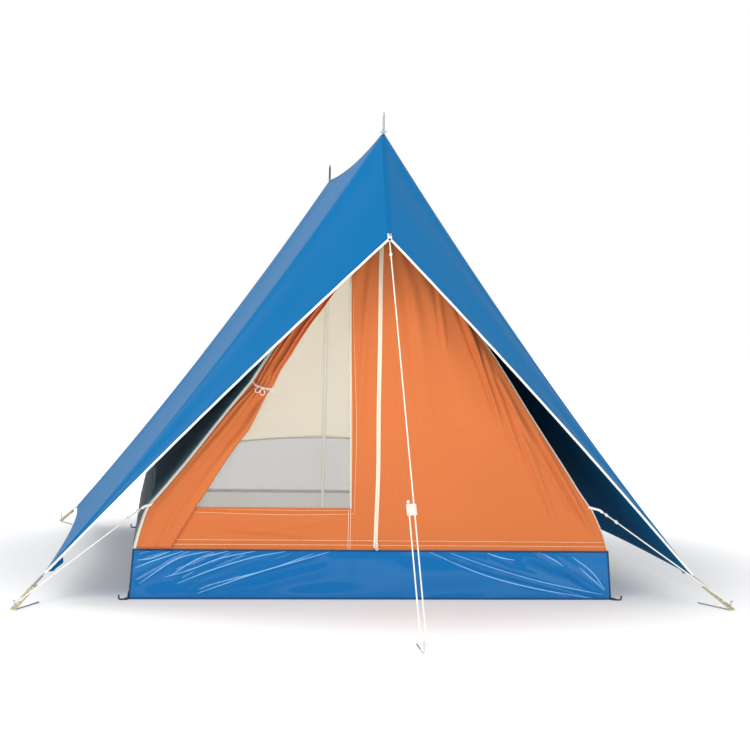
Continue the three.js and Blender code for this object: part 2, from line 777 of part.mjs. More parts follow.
// Flysheet: two roof panels that hang between the poles, and a hood wing at each end of them.
const flyRun = Math.hypot(hemHalfWidth, flyPeakHeight - flyCornerHeight);
const flyOut = vec(flyPeakHeight - flyCornerHeight, 0, hemHalfWidth).divideScalar(flyRun);
const flySteps = 12;

// The right half of the fly roof; u runs from front to rear, v from the ridge to the hem.
function flyRoofPoint(u, v) {
  const ridge = vec(seamHalfGap, mix(-poleY, poleY, u), flyPeakHeight - flyRidgeSag * arch(u));
  const hem = vec(hemHalfWidth - hemDrawIn * arch(u), mix(-hemHalfLength, hemHalfLength, u),
    flyCornerHeight + hemRise * arch(u));
  const sag = arch(v) * (flyEdgeSag + flyBelly * arch(u));
  return between(ridge, hem, v).addScaledVector(flyOut, -sag);
}

// The right-hand front wing, from the fold at the roof's end to its piped edge.
const hoodTip = vec(seamHalfGap, -hoodTipY, hoodTipHeight);
const hoodCorner = vec(hemHalfWidth, -hemHalfLength - foldGap - hoodCornerWidth, flyCornerHeight);
const hoodRun = hoodTip.distanceTo(hoodCorner);
const hoodEdgeOut = vec(hoodTip.z - hoodCorner.z, 0, hoodCorner.x - hoodTip.x).normalize();
const hoodFold = (a) => flyRoofPoint(0, a).add(vec(0, -foldGap, 0));
const hoodEdge = (a) => between(hoodTip, hoodCorner, a).addScaledVector(hoodEdgeOut, hoodSwell * arch(a));
const hoodWing = (a, b) => between(hoodFold(a), hoodEdge(a), b);

// The direction in the wing that points out of it, square to its piped edge.
function hoodForward(a) {
  const along = hoodCorner.clone().sub(hoodTip).normalize();
  const forward = hoodEdge(a).sub(hoodFold(a));
  return forward.addScaledVector(along, -forward.dot(along)).normalize();
}

const turnedTo = (surface, sign, end) => (u, v) => surface(u, v).multiply(vec(sign, -end, 1));

ends.forEach(([end, ahead]) => {
  sides.forEach(([side, sign]) => {
    const wing = sheet(turnedTo(hoodWing, sign, ahead), flySteps, 4, clothThickness);
    const hole = upright(spikeDiameter + 2 * grommetClearance, flyPeakHeight - cutOverrun,
      flyPeakHeight + cutOverrun, 0, ahead * poleY, 16);
    addPiece(tent, `hood_${end}_${side}`, cutAway(wing, hole), blueCloth);
  });
});

sides.forEach(([side, sign]) => {
  const roof = sheet(mirrored(flyRoofPoint, sign), flySteps, flySteps, clothThickness);
  const holes = ends.map(([, ahead]) => (
    upright(spikeDiameter + 2 * grommetClearance, flyPeakHeight - cutOverrun,
      flyPeakHeight + cutOverrun, 0, ahead * poleY, 16)));
  addPiece(tent, `fly_roof_${side}`, cutAway(roof, ...holes), blueCloth);
});

// Piping along the front edge of each front wing.
sides.forEach(([side, sign]) => {
  const route = [];
  for (let i = 0; i <= flySteps; i += 1) {
    const a = mix(pipingStart / hoodRun, 1 - pipingEnd / hoodRun, i / flySteps);
    const point = hoodEdge(a).addScaledVector(hoodForward(a), pipingDiameter / 2 + fitGap);
    route.push(point.multiply(vec(sign, 1, 1)));
  }
  addPiece(tent, `piping_front_${side}`, tube(route, pipingDiameter, 8), whiteTape);
});

// A flat facet with its corners given in order.
function facet(corners, thickness) {
  const normal = corners[1].clone().sub(corners[0]).cross(corners[2].clone().sub(corners[0])).normalize();
  const layer = (sign) => corners.map((corner) => (
    corner.clone().addScaledVector(normal, sign * thickness / 2)));
  const points = [...layer(1), ...layer(-1)].flatMap((point) => point.toArray());
  const count = corners.length;
  const triangles = [];
  for (let i = 1; i < count - 1; i += 1) {
    triangles.push(0, i, i + 1, count, count + i + 1, count + i);
  }
  for (let i = 0; i < count; i += 1) {
    const next = (i + 1) % count;
    triangles.push(i, count + i, count + next, i, count + next, next);
  }
  const geometry = new THREE.BufferGeometry();
  geometry.setAttribute("position", new THREE.Float32BufferAttribute(points, 3));
  geometry.setIndex(triangles);
  return geometry;
}

// The turned-in gusset under the corner of the right-hand front wing.
function gussetCorners() {
  const along = (distance) => {
    const a = 1 - distance / hoodRun;
    const inward = surfaceNormal(hoodWing, a, 0.5);
    if (inward.y < 0) inward.negate();
    return hoodEdge(a).addScaledVector(hoodForward(a), -gussetInset)
      .addScaledVector(inward, clothThickness / 2 + gussetSheet / 2 + fitGap);
  };
  const low = along(gussetStart);
  const high = along(gussetStart + gussetLength);
  const free = low.clone().addScaledVector(vec(-1, 1, 0).normalize(), gussetDepth);
  return [low, free, high];
}

// Corner fastenings, each in a frame whose X runs from the flysheet's corner down to the peg.
const pegPull = vec(pegOut, -pegAhead, pegGripHeight - flyCornerHeight);
const cornerReach = pegPull.length();
const cornerDown = pegPull.clone().normalize();
const cornerTilt = Math.asin(-cornerDown.z);
const linkEnd = linkStart + linkLength;
const pinX = linkEnd - linkWidth / 2;
const ladderTop = -linkThickness / 2 - fitGap;
const ladderStart = pinX - linkPinDiameter / 2 - fitGap - ladderEndBar;
const ladderGrip = cornerReach + (pegWire / 2 + fitGap) / Math.cos(cornerTilt)
  + ladderThickness / 2 * Math.tan(cornerTilt);

function cornerLink() {
  const half = linkWidth / 2;
  const bevel = half / 2;
  const shape = outlineShape([[linkStart, -bevel], [linkStart + bevel, -half], [linkEnd - bevel, -half],
    [linkEnd, -bevel], [linkEnd, bevel], [linkEnd - bevel, half], [linkStart + bevel, half],
    [linkStart, bevel]]);
  shape.holes.push(new THREE.Path(roundSection(bevel, 10).getPoints()
    .map((point) => point.add(new THREE.Vector2(linkStart + linkWidth, 0)))));
  const body = new THREE.ExtrudeGeometry(shape, { depth: linkThickness, bevelEnabled: false });
  body.translate(0, 0, -linkThickness / 2);
  const pinFoot = ladderTop - ladderThickness - fitGap - linkThickness / 2;
  const pin = upright(linkPinDiameter, pinFoot, 0, pinX, 0, 12);
  return joined(body, pin);
}

function ladder() {
  const half = ladderWidth / 2;
  const side = half - ladderRail;
  const slab = (fromX, toX, reach, low, high) => bar(
    [[fromX, -reach], [toX, -reach], [toX, reach], [fromX, reach]], low, high);
  const foot = ladderTop - ladderThickness;
  const first = ladderStart + ladderEndBar;
  const slot = (ladderGrip - first - (ladderSlots - 1) * ladderRung) / ladderSlots;
  const slots = [];
  for (let i = 0; i < ladderSlots; i += 1) {
    const from = first + i * (slot + ladderRung);
    slots.push(slab(from, from + slot, side, foot - cutOverrun, ladderTop + cutOverrun));
  }
  return cutAway(slab(ladderStart, ladderGrip + ladderEndBar, half, foot, ladderTop), ...slots);
}

// A wire peg on the ground: its shank runs back along -X and its leg stands at the origin.
function wirePeg(length, rise) {
  const low = groundGap + pegWire / 2;
  const corners = [vec(-length, 0, low), vec(0, 0, low), vec(0, 0, rise), vec(pegTipLength, 0, rise)];
  return tube(bentWire(corners, pegBend, 4), pegWire, 8);
}

ends.forEach(([end, ahead]) => {
  sides.forEach(([side, sign]) => {
    const name = `${end}_${side}`;
    const flip = vec(sign, -ahead, 1);
    addPiece(tent, `corner_patch_${name}`, facet(gussetCorners().map((point) => point.multiply(flip)),
      gussetSheet), blueCloth);
    const down = cornerDown.clone().multiply(flip);
    const across = vec(-down.y, down.x, 0).normalize();
    const up = down.clone().cross(across);
    const corner = addGroup(tent, sign * hemHalfWidth, ahead * hemHalfLength, flyCornerHeight);
    corner.quaternion.setFromRotationMatrix(new THREE.Matrix4().makeBasis(down, across, up));
    addPiece(corner, `corner_hook_${name}`, cornerLink(), steelWire);
    addPiece(corner, `tensioner_${name}`, ladder(), clearRubber);
    const leg = corner.position.clone().addScaledVector(down, cornerReach)
      .addScaledVector(up, ladderTop - ladderThickness / 2);
    const peg = addPiece(tent, `corner_peg_${name}`, wirePeg(cornerPegLength, cornerPegRise), steelWire);
    peg.position.set(leg.x, leg.y, 0);
    peg.rotation.z = Math.atan2(down.y, down.x);
  });
});

// Pegs beside the corners of the groundsheet.
function tubPeg() {
  const low = groundGap + pegWire / 2;
  const beside = floorWidth / 2 + fitGap + pegWire / 2;
  const cornerY = innerHalf + tubLean;
  const headX = beside + tubPegSpread;
  const headY = -cornerY - tubPegOverhang - pegWire;
  const corners = [vec(beside, tubPegLength - cornerY, low), vec(beside, -cornerY - tubPegOverhang, low),
    vec(headX, headY, low), vec(headX, headY, low + tubPegRise)];
  return bentWire(corners, pegBend, 3);
}

ends.forEach(([end, ahead]) => {
  sides.forEach(([side, sign]) => {
    const route = tubPeg().map((point) => point.multiply(vec(sign, -ahead, 1)));
    addPiece(tent, `tub_peg_${end}_${side}`, tube(route, pegWire, 8), darkWire);
  });
});

// Rings at the tips of the hoods.
const ringHeight = hoodTipHeight - ringDiameter / 2;
const ringY = hoodTipY + clothThickness / 2 + ringWire / 2 + fitGap;
ends.forEach(([end, ahead]) => {
  const torus = new THREE.TorusGeometry(ringDiameter / 2, ringWire / 2, 8, 16);
  torus.rotateX(Math.PI / 2);
  const ring = addPiece(tent, `hood_ring_${end}`, torus, whitePlastic);
  ring.position.set(0, ahead * ringY, ringHeight);
});

// The front guy line: down from the ring, round the leg of its peg and up to the runner.
const guyRoute = [
  [0, -1214.5, 1313.1], [1.9, -1264, 1235.5], [4, -1321.8, 1145], [6.2, -1379.5, 1054.5],
  [8.4, -1437.3, 964], [10.5, -1495.1, 873.4], [12.7, -1552.8, 782.9], [14.9, -1610.6, 692.4],
  [17, -1668.4, 601.9], [19.2, -1726.1, 511.4], [21.4, -1783.9, 420.9], [23.6, -1841.7, 330.3],
  [25.7, -1899.4, 239.8], [27.9, -1957.2, 149.3], [29.8, -2006.7, 71.7], [31, -2039.7, 20],
  [30.3, -2041.6, 17.1], [28.4, -2043.1, 14.6], [25.4, -2044.2, 13], [22, -2044.6, 12.4],
  [18.6, -2044.2, 13], [15.6, -2043.1, 14.6], [13.7, -2041.6, 17.1], [13, -2039.7, 20],
  [11.8, -2006.7, 71.7], [9.9, -1957.2, 149.3], [7.7, -1899.4, 239.8], [5.6, -1841.7, 330.3],
  [3.4, -1783.9, 420.9], [2.9, -1770.7, 441.6]
].map((point) => vec(...point));
addPiece(tent, "guy_line", tube(guyRoute, guyLineDiameter, 8), whiteCord);

const guyPeg = addPiece(tent, "guy_peg", wirePeg(guyPegLength, guyPegRise), steelWire);
guyPeg.position.set(guyPegSide, -hoodTipY - guyPegReach, 0);
guyPeg.rotation.z = -Math.PI / 2;

// The runner: a small block with a bore for each strand, in a frame whose Z runs up the line.
const guyTop = vec(0, -ringY, ringHeight - ringDiameter / 2);
const guyFoot = vec(guyPegSide + guyStrandSpacing / 2, -hoodTipY - guyPegReach, guyEyeHeight);
const guyUp = guyTop.clone().sub(guyFoot).normalize();
const runnerAcross = vec(1, 0, 0).addScaledVector(guyUp, -guyUp.x).normalize();
const runnerOut = guyUp.clone().cross(runnerAcross);
const runnerPlace = between(guyFoot, guyTop, (runnerHeight - guyFoot.z) / (guyTop.z - guyFoot.z))
  .addScaledVector(runnerAcross, -guyStrandSpacing / 2);

function guyRunner() {
  const bore = guyLineDiameter / 2 + runnerBoreClearance;
  const half = guyStrandSpacing / 2 + bore + runnerRim;
  const depth = runnerDepth / 2;
  const bevel = depth / 2;
  const shape = outlineShape([[-half, -bevel], [bevel - half, -depth], [half - bevel, -depth], [half, -bevel],
    [half, bevel], [half - bevel, depth], [bevel - half, depth], [-half, bevel]]);
  [-1, 1].forEach((sign) => {
    shape.holes.push(new THREE.Path(roundSection(bore, 10).getPoints()
      .map((point) => point.add(new THREE.Vector2(sign * guyStrandSpacing / 2, 0)))));
  });
  const body = new THREE.ExtrudeGeometry(shape, { depth: runnerLength, bevelEnabled: false });
  body.translate(0, 0, -runnerLength / 2);
  return body;
}

const runner = addPiece(tent, "guy_runner", guyRunner(), whitePlastic);
runner.position.copy(runnerPlace);
runner.quaternion.setFromRotationMatrix(new THREE.Matrix4().makeBasis(runnerAcross, runnerOut, guyUp));

// Pull-out cords from the knees of the front wall to the front corner pegs.
const pulloutRoute = [[852.1, -1021.2, 337.5], [882.7, -1038.7, 315.2], [913.3, -1056.1, 293],
  [943.9, -1073.6, 270.8], [974.4, -1091.1, 248.5], [1005, -1108.5, 226.2], [1035.6, -1126, 204],
  [1066.2, -1143.5, 181.8], [1096.8, -1160.9, 159.5], [1127.4, -1178.4, 137.2], [1158, -1195.8, 115],
  [1188.5, -1213.3, 92.8], [1219.1, -1230.8, 70.5], [1249.7, -1248.2, 48.2],
  [1280.3, -1265.7, 26]].map((point) => vec(...point));
sides.forEach(([side, sign]) => {
  const route = pulloutRoute.map((point) => point.clone().multiply(vec(sign, 1, 1)));
  addPiece(tent, `pullout_cord_${side}`, tube(route, pulloutDiameter, 8), whiteCord);
});

export default tent;
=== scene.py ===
"""A pitched ridge tent: hooded flysheet, zipped inner tent, poles, pegs and lines.

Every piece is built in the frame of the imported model, in metres: X to the right,
the doors face -Y, Z up, with the origin on the ground under the middle of the floor.
"""

import logging
import math
from dataclasses import dataclass
from enum import Enum
from typing import Callable, Optional, Sequence

import bpy
import numpy as np
from mathutils import Matrix, Vector


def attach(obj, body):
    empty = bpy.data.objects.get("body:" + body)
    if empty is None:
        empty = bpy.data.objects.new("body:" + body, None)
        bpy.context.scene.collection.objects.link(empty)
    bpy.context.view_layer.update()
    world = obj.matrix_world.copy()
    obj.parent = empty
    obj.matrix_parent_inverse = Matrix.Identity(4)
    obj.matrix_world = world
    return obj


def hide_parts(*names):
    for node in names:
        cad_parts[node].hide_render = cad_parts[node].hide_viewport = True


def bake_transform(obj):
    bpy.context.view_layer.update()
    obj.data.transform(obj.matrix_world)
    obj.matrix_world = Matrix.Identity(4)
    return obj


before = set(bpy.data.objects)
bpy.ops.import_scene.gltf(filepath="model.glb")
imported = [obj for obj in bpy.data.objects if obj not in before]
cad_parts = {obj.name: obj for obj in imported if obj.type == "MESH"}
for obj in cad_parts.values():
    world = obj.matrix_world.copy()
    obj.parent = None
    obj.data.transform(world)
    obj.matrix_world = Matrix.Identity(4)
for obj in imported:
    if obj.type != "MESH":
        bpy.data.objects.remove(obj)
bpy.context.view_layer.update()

LOG = logging.getLogger("tent")

Array = np.ndarray
Surface = Callable[[Array, Array], Array]
Triple = tuple[float, float, float]
Palette = dict[str, bpy.types.Material]


class Signed(Enum):
    """One of two directions along an axis, as a sign."""

    @property
    def label(self) -> str:
        """Its name in the model's nodes."""
        return self.name.lower()


class Side(Signed):
    """The two sides of the tent, as the sign of X."""

    LEFT = -1
    RIGHT = 1


class End(Signed):
    """The two ends of the tent, as the sign of -Y."""

    FRONT = 1
    REAR = -1


# Dimensions, in metres.

CLOTH = 0.0016
FLOOR_HALF_WIDTH = 0.9
INNER_HALF = 1.02
INNER_ROOF_HALF = 1.0172
TUB_HEIGHT = 0.183
TUB_LEAN = 0.012
TUB_TOP_HALF = FLOOR_HALF_WIDTH - TUB_LEAN
TUB_FOOT = 0.0012
TUB_RISE = TUB_HEIGHT - 0.0014
RIDGE_HEIGHT = 1.5
RIDGE_SAG = 0.025
KNEE_X = 0.85
KNEE_Z = 0.339
POLE_Y = 0.975
FLY_PEAK = 1.73
FLY_HEM_HALF_WIDTH = 1.203
FLY_HEM_HALF_LENGTH = 1.09
FLY_CORNER = 0.097
HEM_BOW = 0.04
HEM_RISE = 0.035
HOOD_TIP_Y = 1.21
HOOD_TIP_Z = 1.329
EDGE_RUN = 1.7212
EDGE_SWELL = 0.013
LEAF_TOP = 1.411
LEAF_TOP_X = 0.0528
LEAF_FOOT = 0.1836
LEAF_SLIT = 0.0032
LEAF_Y = -1.0213
LEAF_INSET = {Side.LEFT: 0.0100, Side.RIGHT: 0.0045}
WALL_FOOT = 0.1833
WALL_FOOT_X = 0.8877
WALL_Y = 1.0186
FOLD_GAP = 0.0013
TIE_Z = 0.778
SEAM_X = 0.0004
NO_RIM = 9.0

ROOF_RUN = math.hypot(KNEE_X, RIDGE_HEIGHT - KNEE_Z)
ROOF_DOWN = np.array([KNEE_X, 0.0, KNEE_Z - RIDGE_HEIGHT]) / ROOF_RUN
ROOF_OUT = np.array([-ROOF_DOWN[2], 0.0, ROOF_DOWN[0]])
FLY_RUN = math.hypot(FLY_HEM_HALF_WIDTH, FLY_PEAK - FLY_CORNER)
FLY_OUT = np.array([FLY_PEAK - FLY_CORNER, 0.0, FLY_HEM_HALF_WIDTH]) / FLY_RUN
ALONG_X = (1.0, 0.0, 0.0)
ALONG_Y = (0.0, 1.0, 0.0)
MILLIMETRE = 1000.0


def arch(t: Array) -> Array:
    """4 t (1 - t): 0 at both ends and 1 in the middle."""
    return 4.0 * t * (1.0 - t)


def mix(a: Array, b: Array, t: Array) -> Array:
    """a + (b - a) t."""
    return a + (b - a) * t


def smooth(t: Array) -> Array:
    """3 t^2 - 2 t^3 for t held between 0 and 1."""
    t = np.clip(t, 0.0, 1.0)
    return t * t * (3.0 - 2.0 * t)


def inside(t: Array, start: float, end: float) -> Array:
    """0 at t = 0 and t = 1, and 1 between t = start and t = 1 - end."""
    return smooth(t / start) * smooth((1.0 - t) / end)


def bell(x: Array, middle: float, width: float) -> Array:
    """exp(-((x - middle) / width)^2)."""
    return np.exp(-(((x - middle) / width) ** 2))


def stack(x: Array, y: Array, z: Array) -> Array:
    """Three arrays of one coordinate each, as points."""
    return np.stack(np.broadcast_arrays(x, y, z), axis=-1)


def unit(v: Array) -> Array:
    """v divided by its length."""
    return v / np.maximum(np.linalg.norm(v, axis=-1, keepdims=True), 1e-12)


def run_of(points: Array) -> Array:
    """Distance along a path at each of its points."""
    return np.concatenate([[0.0], np.cumsum(np.linalg.norm(np.diff(points, axis=0), axis=1))])


def ripple(x: Array, y: Array, seed: int, waves: int = 5, low: float = 2.0,
           high: float = 9.0) -> Array:
    """A smooth uneven field between about -1 and 1.

    The field is a sum of sines sin(a x + b y + c), divided by the square root of their
    number. Their a, b and c come from a generator with a fixed seed.

    Args:
        x: First coordinate, in metres.
        y: Second coordinate, in metres.
        seed: Seed of the generator.
        waves: How many sines are added.
        low: Least wave number, in radians per metre.
        high: Greatest wave number, in radians per metre.

    Returns:
        One value for each place.
    """
    rng = np.random.default_rng(seed)
    total = np.zeros(np.broadcast(x, y).shape)
    for _ in range(waves):
        angle = rng.uniform(0.0, math.pi)
        number = rng.uniform(low, high)
        phase = rng.uniform(0.0, 2.0 * math.pi)
        total += np.sin(number * (math.cos(angle) * x + math.sin(angle) * y) + phase)
    return total / math.sqrt(waves)


def crease(x: Array, z: Array, start: tuple[float, float], end: tuple[float, float],
           width: float, skew: float) -> Array:
    """A long soft fold in a flat cloth.

    Across the line from start to end the fold is a ridge with a narrow groove beside it,
    exp(-(d / w)^2) - skew exp(-((d - 1.4 w) / (0.7 w))^2), and it fades out at both ends.

    Args:
        x: X of each place.
        z: Z of each place.
        start: X and Z of one end.
        end: X and Z of the other end.
        width: Half width of the ridge.
        skew: Depth of the groove, as a share of the ridge.

    Returns:
        Height of the fold, as a share of its full height.
    """
    ax, az = start
    dx, dz = end[0] - ax, end[1] - az
    run = math.hypot(dx, dz)
    along = ((x - ax) * dx + (z - az) * dz) / run
    across = ((x - ax) * dz - (z - az) * dx) / run
    fade = smooth(along / (0.22 * run)) * smooth((run - along) / (0.22 * run))
    return fade * (bell(across, 0.0, width) - skew * bell(across, 1.4 * width, 0.7 * width))


def smooth_path(points: Sequence[Triple] | Array, count: int) -> Array:
    """An even path of count points through given ones, by Catmull-Rom pieces.

    Between p1 and p2 the place is (2 p1 + (p2 - p0) t + (2 p0 - 5 p1 + 4 p2 - p3) t^2
    + (3 p1 - p0 - 3 p2 + p3) t^3) / 2.
    """
    points = np.asarray(points, dtype=float)
    p = np.concatenate([2 * points[:1] - points[1:2], points, 2 * points[-1:] - points[-2:-1]])
    t = np.linspace(0.0, 1.0, 24, endpoint=False)[:, None]
    dense = [(2 * p[i] + (p[i + 1] - p[i - 1]) * t
              + (2 * p[i - 1] - 5 * p[i] + 4 * p[i + 1] - p[i + 2]) * t ** 2
              + (3 * p[i] - p[i - 1] - 3 * p[i + 1] + p[i + 2]) * t ** 3) / 2.0
             for i in range(1, len(p) - 2)]
    dense = np.concatenate([*dense, points[-1:]])
    run = run_of(dense)
    even = np.linspace(0.0, run[-1], count)
    return np.stack([np.interp(even, run, dense[:, k]) for k in range(3)], axis=-1)


def flipped(points: Array, side: Side, end: End = End.FRONT) -> Array:
    """Points of a front right piece, taken to one side and end."""
    return points * np.array([side.value, end.value, 1.0])


def grid(surface: Surface, columns: int, rows: int) -> Array:
    """Points of surface(u, v) on an even grid, u along the columns and v along the rows."""
    return surface(*np.meshgrid(np.linspace(0.0, 1.0, columns + 1), np.linspace(0.0, 1.0, rows + 1)))


# Meshes from grids.

@dataclass
class Panel:
    """Points of a sheet in rows and columns, with flat coordinates and rim distances."""

    points: Array
    flat: Array
    rim: Array

    @classmethod
    def of(cls, points: Array, rims: str = "") -> "Panel":
        """A panel whose flat coordinates are arc lengths along its rows and columns.

        Args:
            points: Rows by columns by 3.
            rims: The borders that count as rims: l, r, t and b for left, right, top and foot.

        Returns:
            The panel.
        """
        du = np.linalg.norm(np.diff(points, axis=1), axis=-1)
        dv = np.linalg.norm(np.diff(points, axis=0), axis=-1)
        u = np.concatenate([np.zeros((len(points), 1)), np.cumsum(du, axis=1)], axis=1)
        v = np.concatenate([np.zeros((1, points.shape[1])), np.cumsum(dv, axis=0)], axis=0)
        distances = {"l": u, "r": u[:, -1:] - u, "t": v, "b": v[-1:, :] - v}
        rim = np.full(u.shape, NO_RIM)
        for letter in rims:
            rim = np.minimum(rim, distances[letter])
        return cls(points, np.stack([u, v], axis=-1), rim)

    @property
    def area(self) -> float:
        """Area of one side of the sheet, in square metres."""
        p = self.points
        a = np.cross(p[1:, :-1] - p[:-1, :-1], p[:-1, 1:] - p[:-1, :-1])
        b = np.cross(p[1:, :-1] - p[1:, 1:], p[:-1, 1:] - p[1:, 1:])
        return float((np.linalg.norm(a, axis=-1) + np.linalg.norm(b, axis=-1)).sum() / 2.0)

    @property
    def cut(self) -> tuple[float, float]:
        """Width and length of the flat cloth, as the longest row and column."""
        return float(self.flat[..., 0].max()), float(self.flat[..., 1].max())

    def normals(self, wrap: bool) -> Array:
        """Directions square to the sheet at each point."""
        p = self.points
        if wrap:
            wide = np.concatenate([p[:, -2:-1], p, p[:, 1:2]], axis=1)
            du = (wide[:, 2:] - wide[:, :-2]) / 2.0
        else:
            du = np.gradient(p, axis=1)
        return unit(np.cross(du, np.gradient(p, axis=0)))

    def skin(self, thickness: float = CLOTH, wrap: bool = False) -> "Shape":
        """A closed sheet of even thickness with this panel in its middle.

        Args:
            thickness: Thickness of the cloth.
            wrap: True when the last column meets the first.

        Returns:
            The shape, with walls along its free borders.
        """
        normal = self.normals(wrap) * (thickness / 2.0)
        count = self.rim.size
        index = np.arange(count).reshape(self.rim.shape)
        if wrap:
            index[:, -1] = index[:, 0]
        a, b = index[:-1, :-1], index[:-1, 1:]
        c, d = index[1:, 1:], index[1:, :-1]
        quads = [np.stack([a, b, c, d], axis=-1).reshape(-1, 4),
                 np.stack([a, d, c, b], axis=-1).reshape(-1, 4) + count]
        borders = [(index[0], -1), (index[-1], 1)]
        if not wrap:
            borders += [(index[:, 0], 1), (index[:, -1], -1)]
        for line, turn in borders:
            first, second = (line[:-1], line[1:])[::turn]
            quads.append(np.stack([first, second, second + count, first + count], axis=-1))
        faces = len(quads[0])
        return Shape(np.concatenate([self.points + normal, self.points - normal]).reshape(-1, 3),
                     np.concatenate(quads), np.concatenate([self.flat.reshape(-1, 2)] * 2),
                     np.concatenate([self.rim.reshape(-1)] * 2), back=(faces, 2 * faces))


@dataclass
class Shape:
    """Corners, faces, flat coordinates and rim distances of a mesh.

    back is the range of faces that get the lining's material.
    """

    corners: Array
    faces: Array
    flat: Array
    rim: Array
    back: tuple[int, int] = (0, 0)

    @classmethod
    def tube(cls, path: Array, radius: float | Array, sides: int, squash: float = 1.0,
             up: Triple = (0.0, 0.0, 1.0)) -> "Shape":
        """A capped tube along a path.

        Each ring is c + r (cos t, k sin t) in a frame that is carried along the path.

        Args:
            path: Points of the centre line.
            radius: Radius, or one radius for each point.
            sides: Corners of each ring.
            squash: Height of a ring as a share of its width.
            up: A direction that isn't along the path, for its first frame.

        Returns:
            The shape.
        """
        path = np.asarray(path, dtype=float)
        tangent = unit(np.gradient(path, axis=0))
        side = np.empty_like(path)
        side[0] = unit(np.cross(tangent[0], up))
        for i in range(1, len(path)):
            carried = side[i - 1] - tangent[i] * np.dot(side[i - 1], tangent[i])
            side[i] = carried / np.linalg.norm(carried)
        other = np.cross(side, tangent)
        turn = np.linspace(0.0, 2.0 * math.pi, sides, endpoint=False)[:, None]
        ring = np.cos(turn) * side[:, None] + squash * np.sin(turn) * other[:, None]
        points = path[:, None] + np.broadcast_to(radius, (len(path),))[:, None, None] * ring
        count = len(path) * sides
        index = np.arange(count).reshape(len(path), sides)
        after = np.roll(index, -1, axis=1)
        quads = np.stack([index[:-1], after[:-1], after[1:], index[1:]], axis=-1).reshape(-1, 4)
        first, last = np.full(sides, count), np.full(sides, count + 1)
        start = np.stack([after[0], index[0], first, first], axis=-1)
        finish = np.stack([index[-1], after[-1], last, last], axis=-1)
        run = run_of(path)
        flat = np.stack(np.broadcast_arrays(turn[:, 0] * float(np.max(radius)), run[:, None]), axis=-1)
        flat = np.concatenate([flat.reshape(-1, 2), [[0.0, 0.0], [0.0, run[-1]]]])
        return cls(np.concatenate([points.reshape(-1, 3), path[:1], path[-1:]]),
                   np.concatenate([quads, start, finish]), flat, np.full(len(flat), NO_RIM))

    @classmethod
    def turned(cls, profile: Sequence[tuple[float, float]], centre: Triple,
               segments: int = 32) -> "Shape":
        """A closed ring turned about an upright axis from a closed loop of (radius, height)."""
        loop = np.asarray(profile, dtype=float)
        turn = np.linspace(0.0, 2.0 * math.pi, segments, endpoint=False)
        points = stack(loop[:, 0, None] * np.cos(turn), loop[:, 0, None] * np.sin(turn), loop[:, 1, None])
        index = np.arange(len(loop) * segments).reshape(len(loop), segments)
        after, above = np.roll(index, -1, axis=1), np.roll(index, -1, axis=0)
        both = np.roll(above, -1, axis=1)
        quads = np.stack([index, after, both, above], axis=-1).reshape(-1, 4)
        flat = points[..., :2].reshape(-1, 2)
        return cls(points.reshape(-1, 3) + centre, quads, flat, np.full(len(flat), NO_RIM))

    @classmethod
    def joined(cls, parts: Sequence["Shape"]) -> "Shape":
        """Several shapes as one mesh."""
        starts = np.cumsum([0] + [len(part.corners) for part in parts[:-1]])
        return cls(np.concatenate([part.corners for part in parts]),
                   np.concatenate([part.faces + start for part, start in zip(parts, starts)]),
                   np.concatenate([part.flat for part in parts]),
                   np.concatenate([part.rim for part in parts]))

    def build(self, name: str, material: bpy.types.Material,
              lining: Optional[bpy.types.Material] = None) -> bpy.types.Object:
        """A Blender object at the origin with this shape's mesh.

        Args:
            name: Name of the object.
            material: Its material.
            lining: The material of a sheet's second face, where it differs.

        Returns:
            The object, smooth shaded, with a UV map in metres and a "rim" attribute.
        """
        faces = [tuple(dict.fromkeys(face)) for face in self.faces.tolist()]
        mesh = bpy.data.meshes.new(name)
        mesh.from_pydata(self.corners.tolist(), [], faces)
        mesh.polygons.foreach_set("use_smooth", np.ones(len(mesh.polygons), dtype=bool))
        loops = np.empty(len(mesh.loops), dtype=np.int32)
        mesh.loops.foreach_get("vertex_index", loops)
        layer = mesh.uv_layers.new(name="UVMap")
        layer.uv.foreach_set("vector", self.flat[loops].astype(np.float32).ravel())
        rim = mesh.attributes.new("rim", "FLOAT", "POINT")
        rim.data.foreach_set("value", self.rim.astype(np.float32))
        mesh.materials.append(material)
        if lining is not None:
            mesh.materials.append(lining)
            slots = np.zeros(len(mesh.polygons), dtype=np.int32)
            slots[self.back[0]:self.back[1]] = 1
            mesh.polygons.foreach_set("material_index", slots)
        mesh.update()
        obj = bpy.data.objects.new(name, mesh)
        bpy.context.scene.collection.objects.link(obj)
        return obj


# Materials.

@dataclass(frozen=True)
class Finish:
    """Uniform numbers of a material."""

    name: str
    colour: Triple
    roughness: float
    metallic: float = 0.0
    coat: float = 0.0
    specular: float = 0.5
    sheen: float = 0.0
    transmission: float = 0.0
    # Emission in the finish's own colour: painted light that makes a cloth glow though it is no lamp.
    glow: float = 0.0
    subsurface: float = 0.0


@dataclass(frozen=True)
class Weave:
    """Threads, shade changes and stitching of a cloth."""

    pitch: float = 0.0011
    relief: float = 0.25
    mottle: float = 0.05
    mottle_scale: float = 6.0
    crumple: float = 0.0
    stitch_colour: Triple = (0.8, 0.8, 0.8)
    stitch_rows: tuple[float, float] = (0.0, 0.0)


